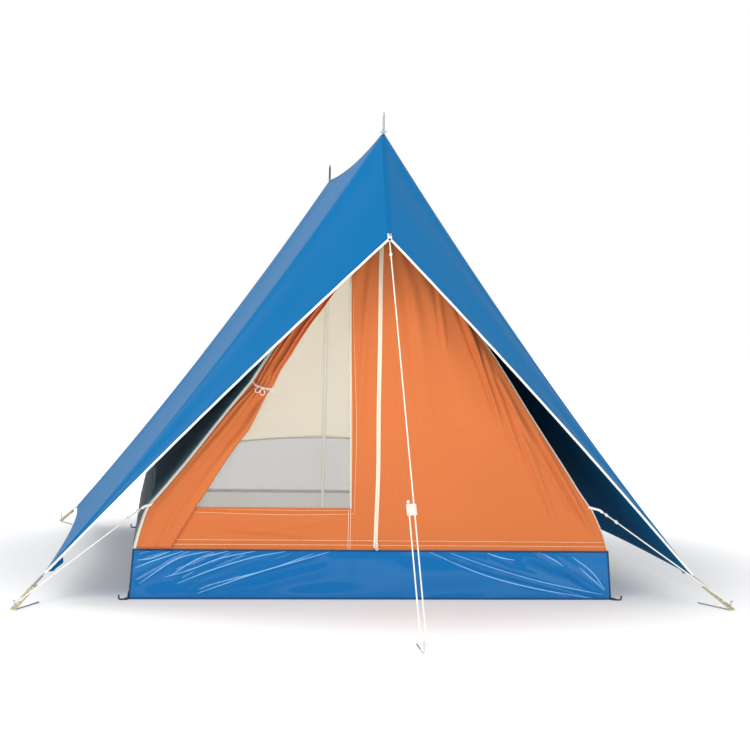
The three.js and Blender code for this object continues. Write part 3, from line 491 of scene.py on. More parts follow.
class Nodes:
    """Adds linked nodes to one shader tree."""

    def __init__(self, tree: bpy.types.NodeTree) -> None:
        """Keeps the tree."""
        self.tree = tree

    def put(self, value: object, socket: bpy.types.NodeSocket) -> None:
        """Links a socket to an input, or sets the input to a number or colour."""
        if isinstance(value, bpy.types.NodeSocket):
            self.tree.links.new(value, socket)
        else:
            socket.default_value = value

    def add(self, kind: str, inputs: Optional[dict] = None, **settings: object) -> bpy.types.Node:
        """A new node.

        Args:
            kind: Its type, without the part that all shader nodes share.
            inputs: A socket, number or colour for each input, by name or place.
            settings: Values of its own properties.

        Returns:
            The node.
        """
        node = self.tree.nodes.new("ShaderNode" + kind)
        for name, value in settings.items():
            setattr(node, name, value)
        for label, value in (inputs or {}).items():
            self.put(value, node.inputs[label])
        return node

    def math(self, operation: str, *values: object) -> bpy.types.NodeSocket:
        """The result of one operation on sockets or numbers."""
        return self.add("Math", dict(enumerate(values)), operation=operation).outputs[0]

    def group(self, group: bpy.types.NodeTree, **inputs: object) -> bpy.types.NodeOutputs:
        """The outputs of a group node with its inputs set."""
        return self.add("Group", inputs, node_tree=group).outputs

    def uv(self) -> tuple[bpy.types.NodeSocket, bpy.types.NodeSocket]:
        """Both coordinates of the UV map, in metres."""
        split = self.add("SeparateXYZ", {0: self.add("TexCoord").outputs["UV"]})
        return split.outputs["X"], split.outputs["Y"]

    def noise(self, scale: object, detail: float, distortion: float = 0.0) -> bpy.types.NodeSocket:
        """A noise between 0 and 1 in the object's own coordinates."""
        return self.add("TexNoise", {"Vector": self.add("TexCoord").outputs["Object"], "Scale": scale,
                                     "Detail": detail, "Distortion": distortion}).outputs["Fac"]


class Groups:
    """Shader node groups that the materials share."""

    WEAVE_HEIGHT = 0.00012
    STITCH = 0.004
    STITCH_SHARE = 0.72
    THREAD_HALF = 0.0009
    HEM_MARGIN = 0.003

    def __init__(self) -> None:
        """Makes each group once."""
        self.mottle = self._mottle()
        self.threads = self._threads()
        self.stitches = self._stitches()
        self.net = self._net()
        self.brushed = self._brushed()
        self.horizon = self._horizon()

    @staticmethod
    def _new(name: str, inputs: dict, outputs: Sequence[str]) -> tuple[Nodes, dict, dict]:
        """An empty group with its sockets.

        Args:
            name: Name of the group.
            inputs: Name and default of each input.
            outputs: Name of each output. A socket named Colour is a colour, any other a number.

        Returns:
            The group's nodes, what it is given and what it gives back, by name.
        """
        tree = bpy.data.node_groups.new(name, "ShaderNodeTree")
        kinds = {"Colour": "NodeSocketColor"}
        for label, default in inputs.items():
            tree.interface.new_socket(name=label, in_out="INPUT", socket_type=kinds.get(
                label, "NodeSocketFloat")).default_value = default
        for label in outputs:
            tree.interface.new_socket(name=label, in_out="OUTPUT",
                                      socket_type=kinds.get(label, "NodeSocketFloat"))
        return (Nodes(tree), tree.nodes.new("NodeGroupInput").outputs,
                tree.nodes.new("NodeGroupOutput").inputs)

    def _mottle(self) -> bpy.types.NodeTree:
        """Uneven colour: the colour times 1 + 2 amount (broad - 0.5 + 1.1 (fine - 0.5))."""
        nodes, given, out = self._new("uneven_colour", {"Colour": (0.8, 0.8, 0.8, 1.0), "Amount": 0.1,
                                                        "Scale": 6.0}, ["Colour"])
        broad = nodes.math("SUBTRACT", nodes.noise(given["Scale"], 5.0), 0.5)
        fine = nodes.math("MULTIPLY", nodes.math("SUBTRACT", nodes.noise(190.0, 2.0), 0.5), 1.1)
        change = nodes.math("MULTIPLY", nodes.math("ADD", broad, fine), given["Amount"])
        factor = nodes.math("ADD", nodes.math("MULTIPLY", change, 2.0), 1.0)
        product = nodes.add("VectorMath", {0: given["Colour"], "Scale": factor}, operation="SCALE")
        nodes.put(product.outputs[0], out["Colour"])
        return nodes.tree

    def _threads(self) -> bpy.types.NodeTree:
        """Height of a plain weave on the UV map, plus soft creases: sin(u) sin(v) and noise."""
        nodes, given, out = self._new("woven_height", {"Pitch": 0.001, "Crumple": 0.0}, ["Height"])
        number = nodes.math("DIVIDE", 2.0 * math.pi, given["Pitch"])
        across, along = (nodes.math("SINE", nodes.math("MULTIPLY", place, number)) for place in nodes.uv())
        weave = nodes.math("MULTIPLY", nodes.math("MULTIPLY", across, along), self.WEAVE_HEIGHT)
        soft = nodes.math("MULTIPLY", nodes.noise(11.0, 4.0, 0.6), given["Crumple"])
        nodes.put(nodes.math("ADD", weave, soft), out["Height"])
        return nodes.tree

    def _stitches(self) -> bpy.types.NodeTree:
        """Two rows of stitches at given distances from a rim.

        The mask is 1 within THREAD_HALF of a row and in the first STITCH_SHARE of each
        stitch; the group also gives the turned hem between the rim and the outer row.
        """
        nodes, given, out = self._new("stitch_rows", {"First": 0.01, "Second": 0.02}, ["Mask", "Hem"])
        rim = nodes.add("Attribute", attribute_name="rim").outputs["Fac"]
        turns = nodes.math("DIVIDE", nodes.math("ADD", *nodes.uv()), self.STITCH)
        dash = nodes.math("LESS_THAN", nodes.math("FRACT", turns), self.STITCH_SHARE)
        gaps = [nodes.math("SUBTRACT", rim, given[row]) for row in ("First", "Second")]
        rows = [nodes.math("LESS_THAN", nodes.math("ABSOLUTE", gap), self.THREAD_HALF) for gap in gaps]
        nodes.put(nodes.math("MULTIPLY", nodes.math("MAXIMUM", *rows), dash), out["Mask"])
        outer = nodes.math("MAXIMUM", given["First"], given["Second"])
        nodes.put(nodes.math("LESS_THAN", rim, nodes.math("ADD", outer, self.HEM_MARGIN)), out["Hem"])
        return nodes.tree

    def _net(self) -> bpy.types.NodeTree:
        """Threads of a square net: 1 on a thread and 0 in a hole of the mesh."""
        nodes, given, out = self._new("open_net", {"Pitch": 0.0016, "Thread": 0.3}, ["Mask"])
        shares = [nodes.math("FRACT", nodes.math("DIVIDE", place, given["Pitch"])) for place in nodes.uv()]
        rows = [nodes.math("LESS_THAN", share, given["Thread"]) for share in shares]
        nodes.put(nodes.math("MAXIMUM", *rows), out["Mask"])
        return nodes.tree

    def _horizon(self) -> bpy.types.NodeTree:
        """Grey level of a floor: 0.28 within 1.2 m of the origin, rising to 1 at 2.8 m."""
        nodes, _, out = self._new("floor_fade", {}, ["Colour"])
        reach = nodes.add("VectorMath", {0: nodes.add("TexCoord").outputs["Object"]}, operation="LENGTH")
        fade = nodes.add("MapRange", {"Value": reach.outputs["Value"], "From Min": 1.2, "From Max": 2.8,
                                      "To Min": 0.28, "To Max": 1.0}, interpolation_type="SMOOTHSTEP")
        nodes.put(fade.outputs["Result"], out["Colour"])
        return nodes.tree

    def _brushed(self) -> bpy.types.NodeTree:
        """Fine marks on metal or plastic: a roughness and a height from noise."""
        nodes, given, out = self._new("handled_surface", {"Roughness": 0.3, "Spread": 0.2},
                                      ["Roughness", "Height"])
        noise = nodes.noise(320.0, 3.0)
        spread = nodes.math("MULTIPLY", nodes.math("SUBTRACT", noise, 0.5), given["Spread"])
        nodes.put(nodes.math("ADD", given["Roughness"], spread), out["Roughness"])
        nodes.put(noise, out["Height"])
        return nodes.tree


def node_of(tree: bpy.types.NodeTree, kind: str) -> bpy.types.Node:
    """The first node of a type in a tree."""
    return next(node for node in tree.nodes if node.type == kind)


class Materials:
    """Makes the materials of the tent from finishes and shared groups."""

    HEM_SHADE = (0.93, 0.93, 0.93, 1.0)

    def __init__(self, groups: Groups) -> None:
        """Keeps the shared groups."""
        self.groups = groups

    @staticmethod
    def _start(finish: Finish) -> tuple[bpy.types.Material, Nodes, bpy.types.NodeInputs]:
        """A material, its nodes and the inputs of its shader, which has the finish's numbers."""
        material = bpy.data.materials.new(finish.name)
        material.use_nodes = True
        inputs = node_of(material.node_tree, "BSDF_PRINCIPLED").inputs
        values = {"Base Color": (*finish.colour, 1.0), "Roughness": finish.roughness,
                  "Metallic": finish.metallic, "Coat Weight": finish.coat,
                  "Specular IOR Level": finish.specular, "Sheen Weight": finish.sheen,
                  "Transmission Weight": finish.transmission, "Subsurface Weight": finish.subsurface}
        # A finish with a glow emits its own colour: painted light.
        if finish.glow:
            values |= {"Emission Color": (*finish.colour, 1.0), "Emission Strength": finish.glow}
        for label, value in values.items():
            inputs[label].default_value = value
        return material, Nodes(material.node_tree), inputs

    def _dye(self, nodes: Nodes, finish: Finish, amount: float, scale: float) -> bpy.types.NodeSocket:
        """The finish's colour, made uneven."""
        return nodes.group(self.groups.mottle, Colour=(*finish.colour, 1.0), Amount=amount,
                           Scale=scale)["Colour"]

    @staticmethod
    def _bump(nodes: Nodes, inputs: bpy.types.NodeInputs, height: bpy.types.NodeSocket,
              strength: float, distance: float = 1.0) -> None:
        """A bump from a height to the shader's normal."""
        bump = nodes.add("Bump", {"Strength": strength, "Distance": distance, "Height": height})
        nodes.put(bump.outputs["Normal"], inputs["Normal"])

    def cloth(self, finish: Finish, weave: Weave) -> bpy.types.Material:
        """A woven cloth with uneven dye, threads and, where it has rows, stitches."""
        material, nodes, inputs = self._start(finish)
        colour = self._dye(nodes, finish, weave.mottle, weave.mottle_scale)
        if weave.stitch_rows[1] > 0.0:
            first, second = weave.stitch_rows
            rows = nodes.group(self.groups.stitches, First=first, Second=second)
            hem = nodes.add("Mix", {"Factor": rows["Hem"], "A": colour, "B": self.HEM_SHADE},
                            data_type="RGBA", blend_type="MULTIPLY")
            thread = nodes.add("Mix", {"Factor": rows["Mask"], "A": hem.outputs["Result"],
                                       "B": (*weave.stitch_colour, 1.0)}, data_type="RGBA")
            colour = thread.outputs["Result"]
        nodes.put(colour, inputs["Base Color"])
        # The glow's emission takes the dyed colour: painted light.
        if finish.glow:
            nodes.put(colour, inputs["Emission Color"])
        threads = nodes.group(self.groups.threads, Pitch=weave.pitch, Crumple=weave.crumple)
        self._bump(nodes, inputs, threads["Height"], weave.relief)
        return material

    def net(self, finish: Finish, thread: float) -> bpy.types.Material:
        """A fine open net, see-through between its threads."""
        material, nodes, inputs = self._start(finish)
        nodes.put(nodes.group(self.groups.net, Pitch=0.0016, Thread=thread)["Mask"], inputs["Alpha"])
        return material

    def hard(self, finish: Finish) -> bpy.types.Material:
        """A metal, rubber or plastic with small uneven marks."""
        material, nodes, inputs = self._start(finish)
        marks = nodes.group(self.groups.brushed, Roughness=finish.roughness, Spread=0.18)
        nodes.put(marks["Roughness"], inputs["Roughness"])
        nodes.put(self._dye(nodes, finish, 0.06, 24.0), inputs["Base Color"])
        self._bump(nodes, inputs, marks["Height"], 0.08, 0.0004)
        return material

    def vinyl(self, finish: Finish) -> bpy.types.Material:
        """A glossy coated sheet whose gloss varies a little and whose surface is faintly wavy."""
        material, nodes, inputs = self._start(finish)
        nodes.put(self._dye(nodes, finish, 0.06, 3.0), inputs["Base Color"])
        marks = nodes.group(self.groups.brushed, Roughness=finish.roughness, Spread=0.08)
        nodes.put(marks["Roughness"], inputs["Roughness"])
        waves = nodes.group(self.groups.threads, Pitch=0.0024, Crumple=0.0012)
        self._bump(nodes, inputs, waves["Height"], 0.35)
        return material


CLOTHS = (
    (Finish("fly_cloth", (0.0, 0.136, 0.346), 0.8, specular=0.05, sheen=0.15),
     Weave(mottle=0.07, mottle_scale=2.2, crumple=0.004, stitch_colour=(0.01, 0.19, 0.44),
           stitch_rows=(0.008, 0.016))),
    (Finish("door_cloth", (0.64, 0.172, 0.049), 0.85, specular=0.25, sheen=0.08),
     Weave(mottle=0.08, mottle_scale=2.6, crumple=0.005, stitch_colour=(0.95, 0.62, 0.38),
           stitch_rows=(0.017, 0.034))),
    (Finish("door_binding", (0.64, 0.165, 0.050), 0.85, specular=0.25), Weave()),
    # The inner cloth glows at 0.13: painted light that brightens the inside of the tent.
    (Finish("inner_cloth", (0.83, 0.78, 0.66), 0.9, specular=0.2, glow=0.13),
     Weave(mottle_scale=3.0, crumple=0.004, stitch_colour=(0.55, 0.48, 0.36),
           stitch_rows=(0.006, 0.014))),
    (Finish("binding_cloth", (0.90, 0.85, 0.72), 0.85, specular=0.25),
     Weave(crumple=0.002, stitch_colour=(0.6, 0.55, 0.45), stitch_rows=(0.002, 0.004))),
    (Finish("piping_tape", (0.93, 0.91, 0.86), 0.7, specular=0.35),
     Weave(pitch=0.0014, relief=0.5, mottle=0.03)),
    (Finish("zip_tape", (0.95, 0.86, 0.68), 0.7, specular=0.3),
     Weave(pitch=0.0012, relief=0.5, mottle=0.03)),
    (Finish("braided_cord", (0.88, 0.86, 0.79), 0.75, specular=0.3),
     Weave(pitch=0.0022, relief=0.9, mottle=0.06, mottle_scale=20.0)),
    (Finish("dark_webbing", (0.012, 0.05, 0.14), 0.8), Weave(pitch=0.0018, relief=0.6)),
    # Outer face of the inner tent's cloth: a greener, duller copy of the inner cloth without its glow,
    # painted shade for the face under the flysheet.
    (Finish("shaded_side", (0.76, 0.79, 0.68), 0.9, specular=0.1), Weave()),
    # The flysheet's inside face: a darker copy of the fly cloth, painted shade.
    (Finish("fly_inside", (0.0, 0.105, 0.250), 0.85, specular=0.05), Weave(mottle=0.06)),
    (Finish("sheet_inside", (0.66, 0.68, 0.70), 0.6), Weave(mottle=0.04)))
NETS = ((Finish("window_net", (0.74, 0.73, 0.70), 0.8), 0.09),
        (Finish("vent_net", (0.36, 0.365, 0.37), 0.8), 0.5))
VINYLS = (Finish("coated_sheet", (0.0, 0.144, 0.41), 0.17, coat=0.45, specular=0.05),
          # Pale blue of the tub's sharp creases: painted highlight of light along their crests.
          Finish("sheet_crease", (0.24, 0.50, 0.80), 0.25, coat=0.4, specular=0.12))
HARD = (Finish("clear_rubber", (0.62, 0.57, 0.34), 0.38, transmission=0.25, subsurface=0.2),
        Finish("black_rubber", (0.02, 0.021, 0.022), 0.7),
        Finish("plated_wire", (0.62, 0.63, 0.64), 0.3, metallic=1.0),
        Finish("dark_wire", (0.06, 0.065, 0.072), 0.42, metallic=0.9),
        Finish("pole_metal", (0.80, 0.79, 0.76), 0.35, metallic=0.2),
        Finish("spike_metal", (0.42, 0.43, 0.44), 0.35, metallic=0.9),
        Finish("white_plastic", (0.74, 0.72, 0.65), 0.45))


def make_palette(groups: Groups) -> Palette:
    """All the materials by the names of their finishes, each made once."""
    kit = Materials(groups)
    palette = {finish.name: kit.cloth(finish, weave) for finish, weave in CLOTHS}
    palette |= {finish.name: kit.net(finish, thread) for finish, thread in NETS}
    palette |= {finish.name: kit.vinyl(finish) for finish in VINYLS}
    palette |= {finish.name: kit.hard(finish) for finish in HARD}
    return palette


# Camera and studio.

@dataclass(frozen=True)
class CameraSolution:
    """Where the camera stands and how it is turned."""

    place: Triple = (-0.788, -6.8618, 0.9896)
    yaw: float = math.radians(7.527)
    pitch: float = math.radians(-1.535)
    roll: float = math.radians(1.342)
    lens: float = 76.57
    sensor: float = 36.0
    far: float = 200.0

    def make(self) -> None:
        """Makes the camera and sets it as the scene's own."""
        data = bpy.data.cameras.new("camera")
        data.sensor_width = self.sensor
        data.lens = self.lens
        data.clip_end = self.far
        camera = bpy.data.objects.new("camera", data)
        forward = Vector((math.sin(self.yaw) * math.cos(self.pitch),
                          math.cos(self.yaw) * math.cos(self.pitch), math.sin(self.pitch)))
        right = Vector((math.cos(self.yaw), -math.sin(self.yaw), 0.0))
        up = right.cross(forward)
        across = right * math.cos(self.roll) + up * math.sin(self.roll)
        upward = up * math.cos(self.roll) - right * math.sin(self.roll)
        turn = Matrix((across, upward, -forward)).transposed().to_4x4()
        camera.matrix_world = Matrix.Translation(Vector(self.place)) @ turn
        bpy.context.scene.collection.objects.link(camera)
        bpy.context.scene.camera = camera


@dataclass(frozen=True)
class AreaLight:
    """A square soft light that faces a point: side in metres, power in watts."""

    name: str
    place: Triple
    target: Triple
    size: float
    power: float
    mirrored: bool = True

    def make(self) -> None:
        """Makes the light, unseen by the camera."""
        data = bpy.data.lights.new(self.name, "AREA")
        data.size = self.size
        data.energy = self.power
        light = bpy.data.objects.new(self.name, data)
        light.location = self.place
        aim = Vector(self.target) - Vector(self.place)
        light.rotation_euler = aim.to_track_quat("-Z", "Y").to_euler()
        light.visible_camera = False
        light.visible_glossy = self.mirrored
        bpy.context.scene.collection.objects.link(light)


class Studio:
    """Pale floor, white background and soft lights."""

    LIGHTS = (AreaLight("key", (-3.4, -5.2, 4.6), (0.0, -0.4, 0.7), 3.2, 172.0),
              AreaLight("fill", (3.8, -5.4, 2.6), (0.2, -0.6, 0.6), 3.6, 74.0),
              AreaLight("front", (-0.4, -6.6, 1.0), (0.0, -1.0, 0.8), 2.2, 34.0, mirrored=False),
              AreaLight("side", (-4.8, 1.0, 3.2), (-0.5, 0.0, 0.9), 2.8, 94.0),
              AreaLight("inside", (-0.1, -0.55, 0.80), (-0.1, 1.0, 0.62), 0.5, 6.0))
    PICTURE = 750
    SKY = (0.95, 0.97, 1.0, 1.0)
    SKY_STRENGTH = 0.56
    WHITE = (1.0, 1.0, 1.0, 1.0)
    FLOOR_HALF = 60.0
    FLOOR_Z = -0.0006
    FLOOR_GREY = (0.60, 0.60, 0.60, 1.0)

    def __init__(self, groups: Groups) -> None:
        """Sets up the render, the sky, the floor and the lights."""
        self._render()
        self._world()
        self._floor(groups)
        for light in self.LIGHTS:
            light.make()

    def _render(self) -> None:
        """Picture size, engine and colour handling."""
        scene = bpy.context.scene
        scene.render.engine = "CYCLES"
        scene.render.resolution_x = scene.render.resolution_y = self.PICTURE
        scene.render.resolution_percentage = 100
        scene.view_settings.view_transform = "Standard"
        scene.cycles.transparent_max_bounces = 24
        scene.cycles.max_bounces = 8

    def _world(self) -> None:
        """White to the camera, and a soft even light for everything else."""
        world = bpy.data.worlds.new("studio_sky")
        bpy.context.scene.world = world
        world.use_nodes = True
        nodes = Nodes(world.node_tree)
        background = node_of(world.node_tree, "BACKGROUND")
        nodes.put(self.SKY, background.inputs["Color"])
        nodes.put(self.SKY_STRENGTH, background.inputs["Strength"])
        seen = nodes.add("Background", {"Color": self.WHITE, "Strength": 1.0})
        camera_ray = nodes.add("LightPath").outputs["Is Camera Ray"]
        blend = nodes.add("MixShader", {0: camera_ray, 1: background.outputs[0], 2: seen.outputs[0]})
        nodes.put(blend.outputs[0], node_of(world.node_tree, "OUTPUT_WORLD").inputs[0])

    def _floor(self, groups: Groups) -> None:
        """A wide pale floor just below the ground line, which fades to white away from the tent."""
        mesh = bpy.data.meshes.new("studio_floor")
        corners = [(x * self.FLOOR_HALF, y * self.FLOOR_HALF, self.FLOOR_Z)
                   for x, y in ((-1, -1), (1, -1), (1, 1), (-1, 1))]
        mesh.from_pydata(corners, [], [(0, 1, 2, 3)])
        material = bpy.data.materials.new("studio_floor")
        material.use_nodes = True
        nodes = Nodes(material.node_tree)
        glow = nodes.group(groups.horizon)["Colour"]
        inputs = node_of(material.node_tree, "BSDF_PRINCIPLED").inputs
        for label, value in {"Base Color": self.FLOOR_GREY, "Roughness": 0.9, "Specular IOR Level": 0.1,
                             "Emission Strength": 1.0, "Emission Color": glow}.items():
            nodes.put(value, inputs[label])
        mesh.materials.append(material)
        floor = bpy.data.objects.new("studio_floor", mesh)
        bpy.context.scene.collection.objects.link(floor)


# Shared outlines.

DRAW_HEIGHTS = np.array([0.18, 0.24, 0.30, 0.345, 0.41, 0.50, 0.60, 0.70, 0.80, 0.90, 1.00, 1.5])
DRAW_IN = {
    Side.LEFT: np.array([0.0, 0.0, 0.003, 0.010, 0.017, 0.024, 0.027, 0.030, 0.036, 0.026, 0.014, 0.0]),
    Side.RIGHT: np.array([0.0, 0.005, 0.018, 0.030, 0.029, 0.023, 0.019, 0.014, 0.006, 0.0, 0.0, 0.0])}

# Folds of a door's cloth: X and Z of both ends, half width, height and depth of the groove.
LEAF_FOLDS = {
    Side.LEFT: (((-0.04, 1.30), (-0.075, 0.60), 0.014, 0.005, 0.5),
                ((-0.62, 0.27), (-0.24, 0.235), 0.014, 0.004, 0.5),
                ((-0.50, 0.24), (-0.14, 0.30), 0.012, 0.003, 0.4)),
    Side.RIGHT: (((0.545, 0.735), (0.850, 0.205), 0.011, 0.012, 0.6),
                 ((0.270, 1.160), (0.390, 0.860), 0.012, 0.011, 0.6),
                 ((0.330, 1.020), (0.470, 0.640), 0.009, 0.011, 0.6),
                 ((0.365, 0.990), (0.560, 0.480), 0.010, 0.007, 0.6),
                 ((0.100, 1.300), (0.200, 0.550), 0.022, 0.006, 0.6),
                 ((0.060, 1.100), (0.100, 0.300), 0.018, 0.004, 0.6),
                 ((0.480, 0.780), (0.700, 0.240), 0.012, 0.008, 0.6),
                 ((0.430, 0.860), (0.600, 0.560), 0.009, 0.007, 0.6),
                 ((0.610, 0.560), (0.760, 0.300), 0.008, 0.007, 0.6),
                 ((0.200, 1.230), (0.250, 0.900), 0.010, 0.006, 0.6))}
LEAF_SEEDS = {Side.LEFT: 11, Side.RIGHT: 7}


def draw_in(z: Array, side: Side) -> Array:
    """How far the stretched front edge is drawn towards the middle at a height."""
    return np.interp(z, DRAW_HEIGHTS, DRAW_IN[side])


def edge_x(z: Array, side: Side, inset: float) -> Array:
    """Distance from the middle to the drawn-in slanted edge at a height.

    Args:
        z: Height.
        side: Side of the tent.
        inset: Distance inside the straight outline, square to it.

    Returns:
        A positive distance along X.
    """
    upper = KNEE_X - (z - KNEE_Z) * ROOF_DOWN[0] / -ROOF_DOWN[2] - inset / -ROOF_DOWN[2]
    slope = (TUB_TOP_HALF - KNEE_X) / (KNEE_Z - WALL_FOOT)
    lower = KNEE_X + (KNEE_Z - z) * slope - inset * 1.04
    return np.minimum(upper, lower) - draw_in(z, side)


def leaf_relief(x: Array, z: Array, side: Side) -> Array:
    """How far a door's cloth stands off its plane, towards the front.

    The cloth swells a little between its edges, creases of 2 mm fan out from the peak, and
    each fold in LEAF_FOLDS comes from crease().
    """
    body = 0.004 * ripple(x, z, LEAF_SEEDS[side], waves=6, low=3.0, high=10.0)
    turn = np.arctan2(np.abs(x) + 0.02, 1.62 - z)
    relief = body * 0.55 + 0.0022 * np.sin(52.0 * turn + 0.6) * (0.35 + bell(z, 1.35, 0.35))
    for start, end, width, height, skew in LEAF_FOLDS[side]:
        relief += height * crease(x, z, start, end, width, skew)
    return relief


@dataclass(frozen=True)
class Maker:
    """Makes pieces of the tent with the palette's materials."""

    palette: Palette

    def add(self, shape: Shape, name: str, material: str, slot: str, node: Optional[str] = None,
            lining: Optional[str] = None, body: Optional[str] = "root") -> bpy.types.Object:
        """Args:
            shape: Its mesh.
            name: Its name.
            material: Its material in the palette.
            slot: Not used.
            node: The node of the model that it stands for, where there is one.
            lining: The material of a sheet's second face, where it differs.
            body: The body that it rides on, or None where it is left without one.

        Returns:
            The piece.
        """
        obj = shape.build(name, self.palette[material], self.palette[lining] if lining else None)
        if body is not None:
            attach(obj, body)
        if node is not None:
            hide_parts(node)
        LOG.info("made %s", name)
        return obj


# Flysheet.

@dataclass(frozen=True)
class Flysheet(Maker):
    """Two roof panels, four hood wings, their piping, gussets, seams, eyelets and ring tabs."""

    sag: tuple[float, float] = (0.028, 0.02)
    tension_fold: float = 0.0030
    broad_fold: float = 0.0042
    wing_wave: float = 0.0022
    wing_ripple: float = 0.0034
    tape_radius: float = 0.0042
    tape_out: float = 0.0036
    seam_radius: float = 0.0019
    seam_lift: float = 0.0003
    EYELET = ((0.0053, -0.0016), (0.0062, -0.0026), (0.0125, -0.0022), (0.0132, 0.0),
              (0.0122, 0.0022), (0.0066, 0.0034), (0.0053, 0.0024))
    tab_half: float = 0.0075

    def roof_point(self, u: Array, v: Array) -> Array:
        """The right half of the roof before it creases.

        The ridge sags by RIDGE_SAG a(u), the hem is drawn in by HEM_BOW a(u) and raised by
        HEM_RISE a(u), and between them the cloth sags by a(v) (0.028 + 0.02 a(u)) along its
        inner normal, with a(t) = 4t(1-t).
        """
        bow = arch(u)
        ridge = stack(SEAM_X, mix(-POLE_Y, POLE_Y, u), FLY_PEAK - RIDGE_SAG * bow)
        hem = stack(FLY_HEM_HALF_WIDTH - HEM_BOW * bow, mix(-FLY_HEM_HALF_LENGTH, FLY_HEM_HALF_LENGTH, u),
                    FLY_CORNER + HEM_RISE * bow)
        sag = arch(v) * (self.sag[0] + self.sag[1] * bow)
        return mix(ridge, hem, v[..., None]) - sag[..., None] * FLY_OUT

    def roof_creased(self, u: Array, v: Array) -> Array:
        """roof_point with shallow tension folds that fan out from the two pole tops."""
        front = np.sin(34.0 * np.arctan2(u + 0.02, v + 0.08)) * np.exp(-2.2 * u)
        rear = np.sin(34.0 * np.arctan2(1.02 - u, v + 0.08) + 1.1) * np.exp(-2.2 * (1.0 - u))
        broad = ripple(u * 2.0, v * 2.0, 3, waves=6, low=2.0, high=6.0)
        lift = self.tension_fold * (front + rear) + self.broad_fold * broad
        lift = inside(u, 0.06, 0.06) * inside(v, 0.05, 0.03) * lift
        return self.roof_point(u, v) + lift[..., None] * FLY_OUT

    def fold(self, a: Array) -> Array:
        """The front fold of the roof, where a hood wing starts."""
        return self.roof_point(np.zeros_like(a), a) - np.array([0.0, FOLD_GAP, 0.0])

    @staticmethod
    def edge(a: Array) -> Array:
        """The piped edge of a front right wing: a straight line that swells by EDGE_SWELL a(t)."""
        tip = np.array([SEAM_X, -HOOD_TIP_Y, HOOD_TIP_Z])
        corner = np.array([FLY_HEM_HALF_WIDTH, -FLY_HEM_HALF_LENGTH - FOLD_GAP - 0.008, FLY_CORNER])
        out = unit(np.array([tip[2] - corner[2], 0.0, corner[0] - tip[0]]))
        return mix(tip, corner, a[..., None]) + (EDGE_SWELL * arch(a))[..., None] * out

    def wing(self, a: Array, b: Array) -> Array:
        """A front right hood wing: straight from the fold to the piped edge, lightly creased.

        The creases are n (0.0022 sin(9 b + 4 a) + 0.0034 noise), faded out at the borders.
        """
        points = mix(self.fold(a), self.edge(a), b[..., None])
        normal = unit(np.cross(np.gradient(points, axis=0), np.gradient(points, axis=1)))
        noise = ripple(a * 3.0, b * 0.8, 5, low=3.0, high=8.0)
        lift = self.wing_wave * np.sin(9.0 * b + 4.0 * a) + self.wing_ripple * noise
        lift = inside(b, 0.18, 0.12) * inside(a, 0.05, 0.04) * lift
        return points + lift[..., None] * normal

    def forward(self, a: Array) -> Array:
        """The direction in the wing that points out of it, square to its piped edge."""
        along = unit(self.edge(np.ones(1)) - self.edge(np.zeros(1)))[0]
        ahead = self.edge(a) - self.fold(a)
        return unit(ahead - (ahead @ along)[..., None] * along)

    def make(self) -> None:
        """Makes every piece of the flysheet."""
        for side in Side:
            self._roof(side)
            for end in End:
                self._wing(side, end)
                self._piping(side, end)
                self._gusset(side, end)
        self._seams()
        for end in End:
            self._eyelet(end)
            self._ring_tab(end)

    def _roof(self, side: Side) -> None:
        """One roof panel."""
        points = flipped(grid(self.roof_creased, 110, 96), side)
        panel = Panel.of(points[:, ::side.value], "tb")
        # The face towards the inside is the darker copy of the fly cloth: painted shade.
        obj = self.add(panel.skin(), f"roof_cloth_{side.label}", "fly_inside", "fly_cloth",
                       f"fly_roof_{side.label}", "fly_cloth")
        panel.cut
        panel.area

    def _wing(self, side: Side, end: End) -> None:
        """One hood wing."""
        turn = -side.value * end.value
        points = flipped(grid(lambda u, v: self.wing(v, u), 26, 110), side, end)
        panel = Panel.of(points[:, ::turn], "l" if turn < 0 else "r")
        name = f"{end.label}_{side.label}"
        obj = self.add(panel.skin(), f"hood_cloth_{name}", "fly_inside", "fly_cloth", f"hood_{name}",
                       "fly_cloth")
        panel.cut
        panel.area

    def _piping(self, side: Side, end: End) -> None:
        """The corded tape folded over a wing's edge."""
        gap = 0.010 / EDGE_RUN
        a = np.linspace(gap, 1.0 - gap, 150)
        wobble = 0.0003 * np.sin(90.0 * a)[:, None]
        path = self.edge(a) + self.forward(a) * (self.tape_out + wobble)
        shape = Shape.tube(flipped(path, side, end), self.tape_radius, 14, squash=0.75, up=ALONG_Y)
        node = f"piping_front_{side.label}" if end is End.FRONT else None
        self.add(shape, f"edge_tape_{end.label}_{side.label}", "piping_tape", "piping_tape", node)

    def _gusset(self, side: Side, end: End) -> None:
        """The doubled cloth inside a hood corner, drawn towards the hook."""
        a = 1.0 - np.array([0.012, 0.105]) / EDGE_RUN
        low, high = self.edge(a) - self.forward(a) * 0.002
        free = low + np.array([-0.062, 0.056, 0.004])
        inward = unit(np.cross(high - low, free - low))
        inward = inward * np.sign(inward[1])

        def surface(u: Array, v: Array) -> Array:
            """From the piped edge at u = 0 to the free borders at u = 1, lifted a little."""
            across = v[..., None]
            inner = mix(low, free, smooth(across)) * 0.5 + mix(free, high, across) * 0.5
            lift = 0.0022 + 0.0015 * np.sin(5.0 * u) * v
            return mix(mix(low, high, across), inner, u[..., None]) + lift[..., None] * inward

        panel = Panel.of(flipped(grid(surface, 14, 18), side, end), "lrtb")
        name = f"{end.label}_{side.label}"
        # The whole corner cloth takes the darker inside colour: painted shade.
        self.add(panel.skin(0.0018), f"corner_cloth_{name}", "fly_inside", "fly_cloth",
                 f"corner_patch_{name}")

